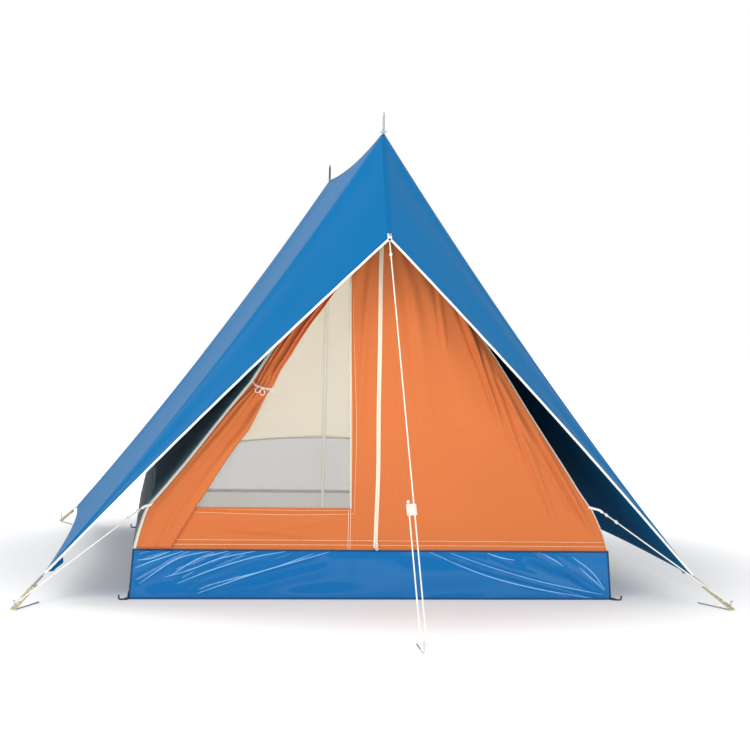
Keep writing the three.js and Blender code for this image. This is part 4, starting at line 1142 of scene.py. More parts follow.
    def _seams(self) -> None:
        """The felled seams along the ridge and down the middle of both hoods."""
        upright = np.array([0.0, 1.0, 1.0])
        u = np.linspace(0.01, 0.99, 80)
        lines = [self.roof_point(u, np.zeros_like(u)) * upright + np.array([0.0, 0.0, self.seam_lift])]
        top, tip = self.fold(np.zeros(1))[0], self.edge(np.zeros(1))[0]
        run = unit(tip - top)
        out = np.array([0.0, run[2], -run[1]])
        line = mix(top, tip, np.linspace(0.04, 0.975, 40)[:, None]) + self.seam_lift * out
        lines += [flipped(line * upright, Side.RIGHT, end) for end in End]
        seams = [Shape.tube(path, self.seam_radius, 8, squash=0.5) for path in lines]
        self.add(Shape.joined(seams), "fly_seams", "fly_cloth", "fly_cloth")

    def _eyelet(self, end: End) -> None:
        """The metal eyelet that the pole's spike comes through."""
        shape = Shape.turned(self.EYELET, (0.0, -end.value * POLE_Y, FLY_PEAK + 0.0035))
        self.add(shape, f"ridge_eyelet_{end.label}", "plated_wire", "steel_wire")

    def _ring_tab(self, end: End) -> None:
        """The folded tape that holds the ring at the hood's tip."""
        angle = math.pi * (1.25 - 1.5 * np.linspace(0.0, 1.0, 22))
        loop = stack(0.0, -HOOD_TIP_Y - 0.0033 - 0.0044 * np.cos(angle) * 0.9,
                     HOOD_TIP_Z + 0.0046 * np.sin(angle) - 0.0002)
        head = np.array([[0.0, -HOOD_TIP_Y + 0.006, HOOD_TIP_Z + 0.011]])
        path = np.concatenate([head, loop, head + np.array([[0.0, 0.0035, 0.004]])])
        points = np.stack([path + [x, 0, 0] for x in (-self.tab_half, 0.0, self.tab_half)], axis=1)
        panel = Panel.of(flipped(points, Side.RIGHT, end), "lr")
        self.add(panel.skin(0.0012), f"ring_tab_{end.label}", "piping_tape", "piping_tape")


# Inner tent.

@dataclass(frozen=True)
class InnerTent(Maker):
    """Roof, low walls, rear wall and bindings of the inner tent."""

    sag: tuple[float, float] = (0.006, 0.018)
    draw_fade: float = 0.16
    draw_share: float = 0.95
    binding_width: float = 0.014
    vent_half: float = 0.62
    vent_foot: float = 0.2003
    vent_crown: float = 0.4003
    vent_rise: float = 0.056
    VENT_MIDDLE = np.array([0.0, 0.30])
    net_turned: float = 0.008
    wall_flat: tuple[float, float] = (1.7754, 1.3167)
    WALL_CORNERS = np.array([[WALL_FOOT_X, WALL_FOOT], [KNEE_X, KNEE_Z], [0.0, RIDGE_HEIGHT],
                             [-KNEE_X, KNEE_Z], [-WALL_FOOT_X, WALL_FOOT]])

    def _pull(self, z: Array, y: Array, side: Side) -> Array:
        """How far the roof and wall follow the drawn-in front edge, fading with exp(-y / 0.16)."""
        return draw_in(z, side) * np.exp(-(y + INNER_HALF) / self.draw_fade) * self.draw_share

    def roof_point(self, u: Array, v: Array, side: Side) -> Array:
        """The inner roof on the right, drawn in at the front as its stretched edge is.

        Ridge and knee sag by RIDGE_SAG a(u), and the cloth by a(v) (0.006 + 0.018 a(u))
        along the inner normal, with a few millimetres of ripples.
        """
        y = mix(-INNER_ROOF_HALF, INNER_ROOF_HALF, u)
        ridge = stack(SEAM_X, y, RIDGE_HEIGHT - RIDGE_SAG * arch(u))
        knee = stack(KNEE_X - RIDGE_SAG * arch(u), y, KNEE_Z)
        sag = arch(v) * (self.sag[0] + self.sag[1] * arch(u))
        points = mix(ridge, knee, v[..., None]) - sag[..., None] * ROOF_OUT
        pull = self._pull(points[..., 2], y, side)
        ripples = 0.004 * ripple(points[..., 1], points[..., 2], 23, low=4.0, high=11.0) * arch(u) * arch(v)
        hang = 0.0035 * np.sin(30.0 * y + 2.0 * v) * arch(v) * arch(u)
        return points + stack(-pull, 0.0, 0.0) + (ripples + hang)[..., None] * ROOF_OUT

    def wall_point(self, u: Array, v: Array, side: Side) -> Array:
        """The low wall from the knee line to the tub's top edge, with soft upright waves."""
        y = mix(-INNER_ROOF_HALF, INNER_ROOF_HALF, u)
        knee = stack(KNEE_X - RIDGE_SAG * arch(u) - self._pull(np.full_like(u, KNEE_Z), y, side), y, KNEE_Z)
        foot = stack(TUB_TOP_HALF - 0.001, y, TUB_HEIGHT + 0.0006)
        wave = 0.004 * np.sin(46.0 * y + 3.0 * v) * arch(v) * smooth(u / 0.08)
        return mix(knee, foot, mix(0.008, 1.0, v)[..., None]) + stack(wave, 0.0, 0.0)

    def make(self) -> None:
        """Makes every piece of the inner tent but its doors."""
        for side in Side:
            self._cloth(f"inner_roof_{side.label}", self.roof_point, side, 60)
            self._cloth(f"inner_wall_{side.label}", self.wall_point, side, 14)
            self._binding(side)
        self._rear_wall()
        self._rear_net()
        self._peak()

    def _cloth(self, node: str, surface: Callable[[Array, Array, Side], Array], side: Side,
               rows: int) -> None:
        """One panel along the tent."""
        points = flipped(grid(lambda u, v: surface(u, v, side), 96, rows), side)
        panel = Panel.of(points[:, ::side.value], "lrtb")
        # The outer face takes the duller copy without glow: painted shade.
        obj = self.add(panel.skin(), f"{node}_cloth", "inner_cloth", "inner_cloth", node, "shaded_side")
        panel.cut
        panel.area

    def _binding(self, side: Side) -> None:
        """The pale binding along the front opening."""
        def surface(u: Array, v: Array) -> Array:
            """A strip along the edge of the roof and the wall, rounded by 0.8 mm."""
            z = mix(RIDGE_HEIGHT - 0.0004, WALL_FOOT, v)
            inner = np.maximum(edge_x(z, side, self.binding_width), 0.0002)
            outer = np.maximum(edge_x(z, side, 0.0), 0.0002)
            return stack(mix(inner, outer + 0.0012, u), -1.0188 - 0.0008 * np.sin(math.pi * u), z)

        points = flipped(grid(surface, 4, 120), side)
        panel = Panel.of(points[:, ::-side.value], "lr")
        self.add(panel.skin(0.0020), f"front_edge_{side.label}", "binding_cloth", "inner_cloth",
                 f"front_binding_{side.label}")

    def _peak(self) -> None:
        """The small three-sided cloth above the doors."""
        def surface(u: Array, v: Array) -> Array:
            """As wide as the roof at each height, and up to 1 mm forward in the middle."""
            z = mix(RIDGE_HEIGHT - 0.0005, LEAF_TOP + 0.0022, v)
            half = np.maximum((RIDGE_HEIGHT - z) * ROOF_DOWN[0] / -ROOF_DOWN[2], 0.0004)
            return stack(mix(-half, half, u), LEAF_Y - 0.001 * arch(u) * v, z)

        self.add(Panel.of(grid(surface, 16, 16), "lrtb").skin(), "peak_cloth", "door_binding",
                 "door_cloth", "front_peak_patch")

    def _vent_top(self, x: Array) -> Array:
        """Height of the vent's arched top."""
        return self.vent_crown + self.vent_rise * (1.0 - (x / self.vent_half) ** 2)

    def _vent_outline(self, angle: Array) -> Array:
        """Where rays from the vent's middle meet its straight foot and sides and arched top."""
        c, s = np.cos(angle), np.sin(angle)
        height = self.VENT_MIDDLE[1]
        reach = np.full(angle.shape, 9.0)
        down = (self.vent_foot - height) / np.minimum(s, -1e-9)
        reach = np.where(s < -1e-9, np.minimum(reach, down), reach)
        flat = np.abs(c) > 1e-9
        reach = np.where(flat, np.minimum(reach, self.vent_half / np.maximum(np.abs(c), 1e-9)), reach)
        r = farthest(lambda r: height + r * s < self._vent_top(r * c), reach, 40)
        return stack(r * c, WALL_Y, height + r * s)

    def _rear_wall(self) -> None:
        """The rear wall, as a band round its vent."""
        vent = [(x, z) for z in (self.vent_foot, self.vent_crown) for x in (self.vent_half, -self.vent_half)]
        corners = [math.atan2(z - self.VENT_MIDDLE[1], x) for x, z in (*self.WALL_CORNERS, *vent)]
        angle = ring_angles(200, corners)
        inner = self._vent_outline(angle)
        outer = stack(*ray_polygon(angle, self.VENT_MIDDLE, self.WALL_CORNERS, WALL_Y))
        t = np.linspace(0.0, 1.0, 26)[:, None, None] ** 1.15
        points = mix(inner[None], outer[None], t)
        x, z = points[..., 0], points[..., 2]
        hang = 0.0035 * np.sin(38.0 * x + 2.0 * np.sin(5.0 * z))
        hang = hang * smooth((z - 0.42) / 0.5) * smooth((RIDGE_HEIGHT - z) / 0.3)
        points[..., 1] -= np.abs(hang) * arch(t[..., 0]) * 1.2
        panel = Panel.of(points, "tb")
        obj = self.add(panel.skin(wrap=True), "rear_wall_cloth", "inner_cloth", "inner_cloth", "rear_wall")
        panel.area

    def _rear_net(self) -> None:
        """The net in the rear vent, on the inner face of the wall."""
        def surface(u: Array, v: Array) -> Array:
            """From the tub to above the vent's arch, and up to 3 mm inward in the middle."""
            x = mix(-self.vent_half - self.net_turned, self.vent_half + self.net_turned, u)
            return stack(x, WALL_Y - 0.0022 - 0.003 * arch(u) * arch(v),
                         mix(TUB_HEIGHT + 0.0015, self._vent_top(x) + self.net_turned, v))

        panel = Panel.of(grid(surface, 60, 14), "lrtb")
        obj = self.add(panel.skin(0.0005), "rear_vent_net", "vent_net", "net", "rear_window_mesh")
        panel.cut
        panel.area


def farthest(holds: Callable[[Array], Array], reach: Array, steps: int) -> Array:
    """The greatest distances up to reach where a condition holds, found by halving."""
    low, high = np.zeros(reach.shape), reach
    for _ in range(steps):
        r = (low + high) / 2.0
        good = holds(r)
        low, high = np.where(good, r, low), np.where(good, high, r)
    return low


def ring_angles(count: int, corners: Sequence[float]) -> Array:
    """Angles once round a ring, with the corners among them and the first one repeated."""
    full = 2.0 * math.pi
    even = np.linspace(0.0, full, count, endpoint=False)
    fixed = np.array([corner % full for corner in corners])
    kept = [value for value in even if np.abs(fixed - value).min() > 0.35 * full / count]
    angles = np.sort(np.concatenate([kept, fixed]))
    return np.append(angles, angles[0] + full)


def ray_polygon(angle: Array, middle: Array, corners: Array, y: float) -> tuple[Array, float, Array]:
    """Where rays from a middle point meet a convex polygon in an upright plane.

    Args:
        angle: Angles of the rays, from +X towards +Z.
        middle: X and Z of the middle point.
        corners: X and Z of the polygon's corners, in order.
        y: Y of the plane.

    Returns:
        X, Y and Z of the points.
    """
    direction = np.stack([np.cos(angle), np.sin(angle)], axis=-1)
    reach = np.full(angle.shape, np.inf)
    for a, b in zip(corners, np.roll(corners, -1, axis=0)):
        side, gap = b - a, a - middle
        bottom = direction[:, 0] * side[1] - direction[:, 1] * side[0]
        bottom = np.where(np.abs(bottom) < 1e-12, 1e-12, bottom)
        r = (gap[0] * side[1] - gap[1] * side[0]) / bottom
        t = (gap[0] * direction[:, 1] - gap[1] * direction[:, 0]) / bottom
        hit = (r > 0.0) & (t > -1e-9) & (t < 1.0 + 1e-9)
        reach = np.where(hit, np.minimum(reach, r), reach)
    points = middle + reach[:, None] * direction
    return points[:, 0], y, points[:, 1]


# Doors.

@dataclass(frozen=True)
class Doors(Maker):
    """The two door leaves, the window with its net and tied cover, and the slide fastener."""

    WINDOW = np.array([[-0.0952, 0.3336], [-0.764, 0.3336], [-0.116, 1.2196]])
    WINDOW_MIDDLE = WINDOW.mean(axis=0)
    LEAF_CORNERS = ((-0.8765, LEAF_FOOT), (-0.8376, KNEE_Z), (-LEAF_TOP_X, LEAF_TOP),
                    (-LEAF_SLIT, LEAF_TOP), (-LEAF_SLIT, LEAF_FOOT))
    leaf_flat: tuple[float, float] = (0.8675, 1.2275)
    turned: float = 0.036
    NET_TURNED = np.array([[0.008, -0.008], [-0.02, -0.008], [0.004, 0.016]])
    net_flat: tuple[float, float] = (0.69, 0.91)
    cover_flat: tuple[float, float] = (0.45, 1.05)
    seam_below_window: tuple[float, float] = (-0.1026, -0.0946)
    bend: tuple[float, float] = (0.004, 0.064)
    zip_foot: float = 0.1896
    zip_top: float = 1.341
    zip_tape: tuple[float, ...] = (0.0002, 0.0026, 0.0050, 0.0074)
    tooth_pitch: float = 0.0035

    cover_top: float = 1.19
    cover_foot: float = 0.1892
    COVER_Z = np.array([1.19, 1.13, 1.072, 1.014, 0.9585, 0.903, 0.843, 0.788, 0.75, 0.705, 0.66, 0.622,
                        0.566, 0.511, 0.456, 0.400, 0.345, 0.272, 0.1945])
    COVER_X = np.array([0.134, 0.176, 0.2156, 0.2585, 0.294, 0.3258, 0.3648, 0.3900, 0.415, 0.437, 0.458,
                        0.4771, 0.519, 0.556, 0.591, 0.624, 0.659, 0.7023, 0.7478])

    # The tie's strap goes from one X to the other. Its loops and tails are routes from the knot,
    # in millimetres.
    strap: tuple[float, float] = (-0.4620, -0.3860)
    strap_radius: float = 0.0019
    bow_radius: float = 0.0017
    KNOT = np.array([-0.4335, LEAF_Y - 0.0245, TIE_Z - 0.001])
    BOW = (
        ((0, 0, 0), (-10, -2, 4), (-22, -3, -1), (-25, -2, -13), (-16, -3, -17), (-6, -2, -8), (0, -1, -1)),
        ((0, 0, 0), (6, -3, -6), (10, -3, -18), (2, -3, -26), (-7, -2, -20), (-6, -2, -9), (0, -2, 1)),
        ((0, 0, 0), (12, -2, -2), (26, -1, -7), (38, 2, -10), (46, 6, -19)),
        ((0, 0, 0), (-12, -1, 6), (-24, 1, 12), (-32, 4, 20)))
    BALL = np.array([[-0.004, 0, 0.002], [-0.002, -0.001, 0.001], [0, -0.0015, 0],
                     [0.003, -0.001, -0.001], [0.005, 0, -0.002]])
    BALL_RADII = np.array([0.0015, 0.0032, 0.0038, 0.0031, 0.0015])

    def _part(self, shape: Shape, name: str, material: str, slot: str, side: Side,
              node: Optional[str] = None) -> None:
        """A piece near the door's slanted edge, made without a body and passed to _swing()."""
        self._swing(self.add(shape, name, material, slot, node, body=None), side)

    @staticmethod
    def _swing(obj: bpy.types.Object, side: Side) -> None:
        """Bakes a piece's placement into its mesh, and works out the ends of a strip beside the door's hinge
        that nothing uses.
        """
        turn = np.array([float(side.value), 1.0, 1.0])
        hinge = np.array([side.value * LEAF_TOP_X, LEAF_Y + 0.001, LEAF_TOP]) + 0.7 * ROOF_DOWN * turn
        start, end = (tuple(hinge - reach * ROOF_OUT * turn) for reach in Doors.bend)
        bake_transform(obj)
        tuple(start)
        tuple(end)

    @staticmethod
    def zip_line(z: Array) -> Array:
        """X of the closed slit at a height: a faint wave of a few millimetres."""
        return 0.004 * bell(z, 0.47, 0.16) - 0.003 * bell(z, 1.2, 0.2)

    def make(self) -> None:
        """Makes the doors and what is on them."""
        self._right_leaf()
        self._left_leaf()
        self._window_net()
        self._window_tape()
        self._cover()
        self._bow()
        for side in Side:
            self._zip_tape(side)

    def _right_leaf(self) -> None:
        """The plain leaf."""
        side = Side.RIGHT

        def surface(u: Array, v: Array) -> Array:
            """From the slit to the slanted edge, with the leaf's folds and 3 mm of fullness."""
            z = mix(LEAF_TOP, LEAF_FOOT, v)
            outer = np.maximum(edge_x(z, side, LEAF_INSET[side]), 0.012)
            x = mix(LEAF_SLIT + self.zip_line(z), outer, u)
            fade = inside(u, 0.10, 0.06) * inside(v, 0.05, 0.05)
            return stack(x, LEAF_Y - fade * (leaf_relief(x, z, side) + 0.003), z)

        panel = Panel.of(grid(surface, 150, 190), "b")
        obj = self.add(panel.skin(), "right_leaf_cloth", "door_cloth", "door_cloth", "door_right", body=None)
        panel.cut
        panel.area
        self._swing(obj, side)

    def _leaf_outline(self, angle: Array) -> Array:
        """Where rays from the window's middle meet the left leaf's drawn-in outline."""
        (x0, z0), c, s = self.WINDOW_MIDDLE, np.cos(angle), np.sin(angle)

        def holds(r: Array) -> Array:
            """True where a ray of length r still ends inside the outline."""
            x, z = x0 + r * c, z0 + r * s
            edge = -edge_x(z, Side.LEFT, LEAF_INSET[Side.LEFT])
            return (z > LEAF_FOOT) & (z < LEAF_TOP) & (x < self.zip_line(z) - LEAF_SLIT) & (x > edge)

        r = farthest(holds, np.full(angle.shape, 2.0), 44)
        return stack(x0 + r * c, LEAF_Y, z0 + r * s)

    def _left_relief(self, x: Array, z: Array, t: Array) -> Array:
        """How far the left leaf stands out, t of the way from its window to its edge."""
        return inside(t, 0.12, 0.12) * (leaf_relief(x, z, Side.LEFT) + 0.002)

    def _leaf_front(self, x: Array, z: Array) -> Array:
        """Points on the front of the left leaf's cloth, below its window."""
        x0, z0 = self.WINDOW_MIDDLE
        angle = np.arctan2(z - z0, x - x0)
        inner_x, _, inner_z = ray_polygon(angle, self.WINDOW_MIDDLE, self.WINDOW, LEAF_Y)
        outer = self._leaf_outline(angle)
        start = np.hypot(inner_x - x0, inner_z - z0)
        end = np.hypot(outer[:, 0] - x0, outer[:, 2] - z0)
        t = (np.hypot(x - x0, z - z0) - start) / (end - start)
        return stack(x, LEAF_Y - self._left_relief(x, z, t) - CLOTH / 2.0 - 0.0002, z)

    def _left_leaf(self) -> None:
        """The leaf with the window, as a band from the window's edge to its own."""
        x0, z0 = self.WINDOW_MIDDLE
        places = [*self.WINDOW, *self.LEAF_CORNERS]
        angle = ring_angles(300, [math.atan2(z - z0, x - x0) for x, z in places])
        inner = stack(*ray_polygon(angle, self.WINDOW_MIDDLE, self.WINDOW, LEAF_Y))
        t = np.linspace(0.0, 1.0, 40)[:, None]
        points = mix(inner[None], self._leaf_outline(angle)[None], t[..., None])
        x, z = points[..., 0], points[..., 2]
        points[..., 1] -= self._left_relief(x, z, t)
        panel = Panel.of(points, "t")
        hem = z - LEAF_FOOT
        panel.rim = np.where(hem < 0.06, hem, np.where(panel.rim < 0.05, panel.rim + 0.012, NO_RIM))
        obj = self.add(panel.skin(wrap=True), "left_leaf_cloth", "door_cloth", "door_cloth", "door_left",
                       body=None)
        self._swing(obj, Side.LEFT)

    def _window_net(self) -> None:
        """The net in the window, behind the leaf's edge."""
        foot, far, top = self.WINDOW + self.NET_TURNED

        def surface(u: Array, v: Array) -> Array:
            """Between the window's three corners, and up to 2 mm inward in the middle."""
            left = mix(top, far, v[..., None])
            right = mix(top + [0.0005, 0.0], foot, v[..., None])
            place = mix(left, right, u[..., None])
            return stack(place[..., 0], LEAF_Y + 0.0022 + 0.002 * arch(u) * arch(v), place[..., 1])

        panel = Panel.of(grid(surface, 50, 60), "lrtb")
        obj = self.add(panel.skin(0.0004), "window_net", "window_net", "net", "window_mesh", body=None)
        panel.area
        self._swing(obj, Side.LEFT)

    def _window_tape(self) -> None:
        """Narrow bindings along the window's upright and lower edges, and the seam below it."""
        t = np.linspace(0.0, 1.0, 60)[:, None]
        foot, far, top = self.WINDOW

        def strip(a: Array, b: Array, width: float, normal: Array) -> Shape:
            """A band of even width along the line from a to b, on the leaf's front."""
            line = mix(a, b, t)
            points = np.stack([line + normal * w for w in np.linspace(-width / 2, width / 2, 3)], axis=1)
            y = LEAF_Y - 0.0018 + 0.0003 * np.sin(60.0 * t)
            return Panel.of(stack(points[..., 0], y, points[..., 1]), "lr").skin(0.0010)

        upright = strip(foot, top, 0.006, np.array([1.0, 0.024]))
        self._part(upright, "window_tape_side", "binding_cloth", "inner_cloth", Side.LEFT)
        heights = np.linspace(0.331, LEAF_FOOT + 0.002, 60)
        threads = [Shape.tube(self._leaf_front(np.full(60, x), heights), 0.0007, 6, up=ALONG_Y)
                   for x in self.seam_below_window]
        self._part(Shape.joined(threads), "window_seam_threads", "binding_cloth", "inner_cloth", Side.LEFT)
        lower = strip(foot + [0.004, 0.001], far, 0.007, np.array([0.0, 1.0]))
        self._part(lower, "window_tape_foot", "door_binding", "door_cloth", Side.LEFT)

    def cover_point(self, s: Array, v: Array) -> Array:
        """The window's cover, gathered to the side and tied at one height.

        s runs from the slanted edge of the door to the free edge, which follows COVER_X at
        the heights COVER_Z, and v from the top to the foot. The loose cloth stands about 9 mm
        off the leaf, with waves of up to 8 mm below the tie and 15 mm above it, and at the tie
        it is a bundle about 20 mm deep.
        """
        z = mix(self.cover_top, self.cover_foot, v)
        free = np.interp(z, self.COVER_Z[::-1], self.COVER_X[::-1])
        tied = bell(z, TIE_Z, 0.055)
        outer = edge_x(z, Side.LEFT, LEAF_INSET[Side.LEFT] + 0.001) - 0.012 * tied
        lobe = np.sqrt(np.maximum(1.0 - (2.0 * s - 1.0) ** 2, 0.0))
        fan = smooth((TIE_Z - z) / 0.35)
        above = smooth((z - TIE_Z) / 0.10)
        below = 1.0 - above
        phase = 2.0 * math.pi * s
        wide = 0.0045 * np.cos(phase * 2.0 + 0.8 + 1.4 * fan)
        narrow = 0.0035 * np.cos(phase * 3.3 + 2.6 * fan)
        low_folds = (wide + narrow) * (1.0 - 0.45 * fan)
        wide = 0.0105 * np.cos(phase * 2.6 + 5.0 * (z - TIE_Z))
        high_folds = wide + 0.0050 * np.cos(phase * 4.4 - 3.0 * (z - TIE_Z))
        loose = 0.0065 + below * low_folds + above * high_folds
        roll = 0.0060 * bell(s, 0.95, 0.07) * below + 0.005 * bell(s, 0.93, 0.08) * above
        bundle = 0.0150 * lobe ** 0.6 + 0.0030 * np.cos(phase * 4.0) * lobe
        depth = mix(loose + roll, bundle, tied)
        depth = np.maximum(depth, 0.0012) * smooth(s / 0.06 + 0.15) + 0.0022
        lift = depth * smooth((1.0 - s) / 0.03 + 0.25)
        return stack(-mix(outer, free, s), LEAF_Y - 0.0016 - lift, z)

    def _cover(self) -> None:
        """The gathered cover, as cloth, with closer rows near its tie."""
        rows = np.sort(np.concatenate([np.linspace(0.0, 1.0, 150), np.linspace(0.33, 0.50, 60)[1:-1]]))
        panel = Panel.of(self.cover_point(*np.meshgrid(np.linspace(0.0, 1.0, 90), rows)))
        obj = self.add(panel.skin(0.0014), "window_cover_cloth", "door_cloth", "door_cloth",
                       "window_flap", body=None)
        panel.area
        self._swing(obj, Side.LEFT)

    def _bow(self) -> None:
        """The white tie: a strap round the bundle and a bow with two loops and two tails."""
        t = np.linspace(0.0, 1.0, 40)
        left, right = self.strap
        middle, half = (left + right) / 2.0, (right - left) / 2.0 + 0.002
        angle = math.pi * t
        strap = stack(middle - half * np.cos(angle), LEAF_Y - 0.004 - 0.0185 * np.sin(angle) ** 0.7,
                      TIE_Z + 0.010 - 0.020 * t)
        parts = [Shape.tube(self.KNOT + self.BALL, self.BALL_RADII, 10),
                 Shape.tube(strap, self.strap_radius, 8)]
        parts += [Shape.tube(smooth_path(np.array(route) / MILLIMETRE + self.KNOT, 44), self.bow_radius, 8,
                             up=ALONG_Y) for route in self.BOW]
        self._part(Shape.joined(parts), "cover_bow", "braided_cord", "piping_tape", Side.LEFT, "flap_tie")

    def _zip_tape(self, side: Side) -> None:
        """One tape of the slide fastener with its row of teeth."""
        sign = float(side.value)
        z = np.linspace(self.zip_top, self.zip_foot, 220)
        line = self.zip_line(z)
        points = np.stack([stack(line + sign * x, LEAF_Y - 0.0019, z) for x in self.zip_tape], axis=1)
        parts = [Panel.of(points[:, ::side.value], "lr").skin(0.0012)]
        start = self.zip_foot + 0.002
        shift = 0.5 if side is Side.LEFT else 0.0
        for i in range(int((self.zip_top - self.zip_foot - 0.004) / self.tooth_pitch)):
            height = start + (i + shift) * self.tooth_pitch
            x = float(self.zip_line(np.array(height)))
            path = [(x + sign * reach, LEAF_Y - 0.0032, height) for reach in (0.0034, 0.0012, -0.0004)]
            parts.append(Shape.tube(path, np.array([0.0011, 0.0012, 0.0008]), 6))
        self._part(Shape.joined(parts), f"zip_tape_cloth_{side.label}", "zip_tape", "piping_tape", side,
                   f"zip_tape_{side.label}")


# Groundsheet.

@dataclass(frozen=True)
class Groundsheet(Maker):
    """The coated tub: a floor with four low walls, drawn tight at its corners."""

    thickness: float = 0.0018
    flat: tuple[float, float] = (2.166, 2.430)
    turned_share: float = 1.005
    floor_shares: tuple[float, ...] = (0.0015, 0.3, 0.6, 0.82, 0.93, 0.98, 0.994)
    # Heights and reach of the dark bands round the tub's top and foot.
    TAPE_LEVELS = (((TUB_HEIGHT - 0.0062, TUB_HEIGHT - 0.0030, TUB_HEIGHT - 0.0002), 0.0010),
                   ((0.0008, 0.0036, 0.0066), TUB_LEAN + 0.0006))
    LOOP = ((0.8845, -1.0285, 0.022), (0.8965, -1.0285, 0.010), (0.9045, -1.0400, 0.0065),
            (0.9100, -1.0480, 0.0052), (0.9140, -1.0485, 0.0052), (0.9105, -1.0400, 0.0052),
            (0.9030, -1.0310, 0.0062), (0.8975, -1.0275, 0.007))

    # Folds of the front wall, in millimetres: X and Z of both ends, half width and height.
    FRONT_FOLDS = (
        (216, 172, 500, 84, 8.1, 5.6), (440, 103, 795, 14, 8.1, 5.9), (302, 170, 633, 73, 8.1, 5.9),
        (560, 94, 880, 6, 8.1, 5.9), (425, 170, 530, 124, 8.1, 4.2), (560, 176, 790, 80, 21.6, 7.3),
        (680, 140, 882, 10, 14.9, 7), (660, 172, 884, 30, 9.5, 4.2), (-171, 183, -480, 85, 9.5, 5.9),
        (-400, 110, -690, 14, 10.8, 5.9), (-250, 182, -530, 80, 9.5, 6.2), (-440, 172, -680, 74, 9.5, 5.9),
        (-500, 180, -735, 58, 8.1, 6.2), (-560, 180, -755, 88, 9.5, 6.2), (-600, 150, -700, 90, 16.2, 5.6),
        (-655, 184, -790, 116, 8.1, 6.2), (-760, 128, -890, 55, 8.1, 6.2), (-700, 186, -872, 134, 8.1, 5.6),
        (-770, 186, -880, 154, 7.4, 5), (-140, 120, -620, 12, 21.6, 3.1))
    fold_share: float = 0.6
    fold_groove: float = 0.8

    # Its sharp creases, each drawn with a pale painted highlight, in millimetres: X and Z of the points that
    # each goes through.
    FRONT_CREASES = (
        ((204, 176), (394, 98), (588, 46), (825, 6)), ((283, 172), (462, 114), (650, 63), (873, 19)),
        ((636, 171), (681, 148), (715, 125)), ((775, 123), (825, 80), (875, 37)),
        ((423, 173), (474, 157), (530, 147)), ((749, 161), (825, 105), (880, 35)),
        ((-167, 176), (-296, 139), (-450, 93), (-657, 21)),
        ((-330, 176), (-454, 153), (-601, 108), (-729, 56)),
        ((-443, 176), (-566, 151), (-688, 105), (-774, 80)), ((-541, 176), (-651, 147), (-750, 87)),
        ((-229, 169), (-376, 116), (-499, 82), (-628, 48)), ((-704, 176), (-810, 141), (-883, 112)),
        ((-606, 176), (-729, 147), (-866, 56)), ((-754, 174), (-823, 149), (-874, 141)))

    @staticmethod
    def _outline() -> Array:
        """Unit outline of a square from its front left corner, finest along the front."""
        sides = []
        for count, start, step in ((420, (-1, -1), (1, 0)), (70, (1, -1), (0, 1)), (70, (1, 1), (-1, 0)),
                                   (70, (-1, 1), (0, -1))):
            share = np.linspace(0.0, 2.0, count, endpoint=False)[:, None]
            sides.append(np.array(start) + share * np.array(step))
        return np.concatenate([*sides, sides[0][:1]])

    def make(self) -> None:
        """Makes the walls and the floor as one sheet, then its pale creases (painted highlight), its dark
        bands and corner loops.
        """
        outline = self._outline()
        rows = [self._floor_row(outline, share) for share in self.floor_shares]
        rows += [self._wall_row(outline, share) for share in np.linspace(0.0, 1.0, 52)]
        panel = Panel.of(np.array(rows))
        obj = self.add(panel.skin(self.thickness, wrap=True), "tub_sheet", "coated_sheet",
                       "groundsheet_vinyl", "groundsheet_tub", "sheet_inside")
        self._creases()
        self._seam(outline)
        for side in Side:
            for end in End:
                self._corner_loop(side, end)

    @staticmethod
    def _floor_row(outline: Array, share: float) -> Array:
        """One ring of the floor, a share of the way out from its middle."""
        x = outline[:, 0] * FLOOR_HALF_WIDTH * share
        y = outline[:, 1] * (INNER_HALF + TUB_LEAN) * share
        rise = 0.0016 * (ripple(x, y, 31, low=5.0, high=14.0) + 1.6) * (1.0 - share ** 8) * 0.5
        return stack(x, y, 0.0010 + rise)

    def _swell(self, along: Array, z: Array, corner: Array, front: Array | bool) -> Array:
        """How far a wall stands off its plane.

        Args:
            along: Place along the wall.
            z: Height.
            corner: Distance from the nearest upright corner.
            front: True on the front wall, which has the folds.

        Returns:
            Distance outwards.
        """
        share = (z - TUB_FOOT) / TUB_RISE
        swell = 0.0012 * ripple(along, z * 4.0, 41, low=5.0, high=13.0) * smooth(corner / 0.1) * arch(share)
        for x0, z0, x1, z1, width, height in np.array(self.FRONT_FOLDS) / MILLIMETRE:
            fold = self.fold_share * height * crease(along, z, (x0, z0), (x1, z1), width, self.fold_groove)
            swell = swell + np.where(front, fold, 0.0)
        return swell * (inside(share, 0.04, 0.06) * smooth(corner / 0.02))

    def _wall_row(self, outline: Array, share: float) -> Array:
        """One level of the walls, which lean in by TUB_LEAN and stand out by _swell()."""
        x, y = outline[:, 0], outline[:, 1]
        lean = TUB_LEAN * share + TUB_FOOT
        half_x, half_y = FLOOR_HALF_WIDTH - lean, INNER_HALF + TUB_LEAN - lean
        place_x, place_y = x * half_x, y * half_y
        z = np.full(x.shape, TUB_FOOT + TUB_RISE * share)
        on_y = np.abs(np.abs(y) - 1.0) < 1e-9
        along = np.where(on_y, place_x, place_y)
        corner = np.where(on_y, half_x, half_y) - np.abs(along)
        swell = self._swell(along, z, corner, y < -1.0 + 1e-9)
        return stack(place_x + np.where(on_y, 0.0, np.sign(x)) * swell,
                     place_y + np.where(on_y, np.sign(y), 0.0) * swell, z)

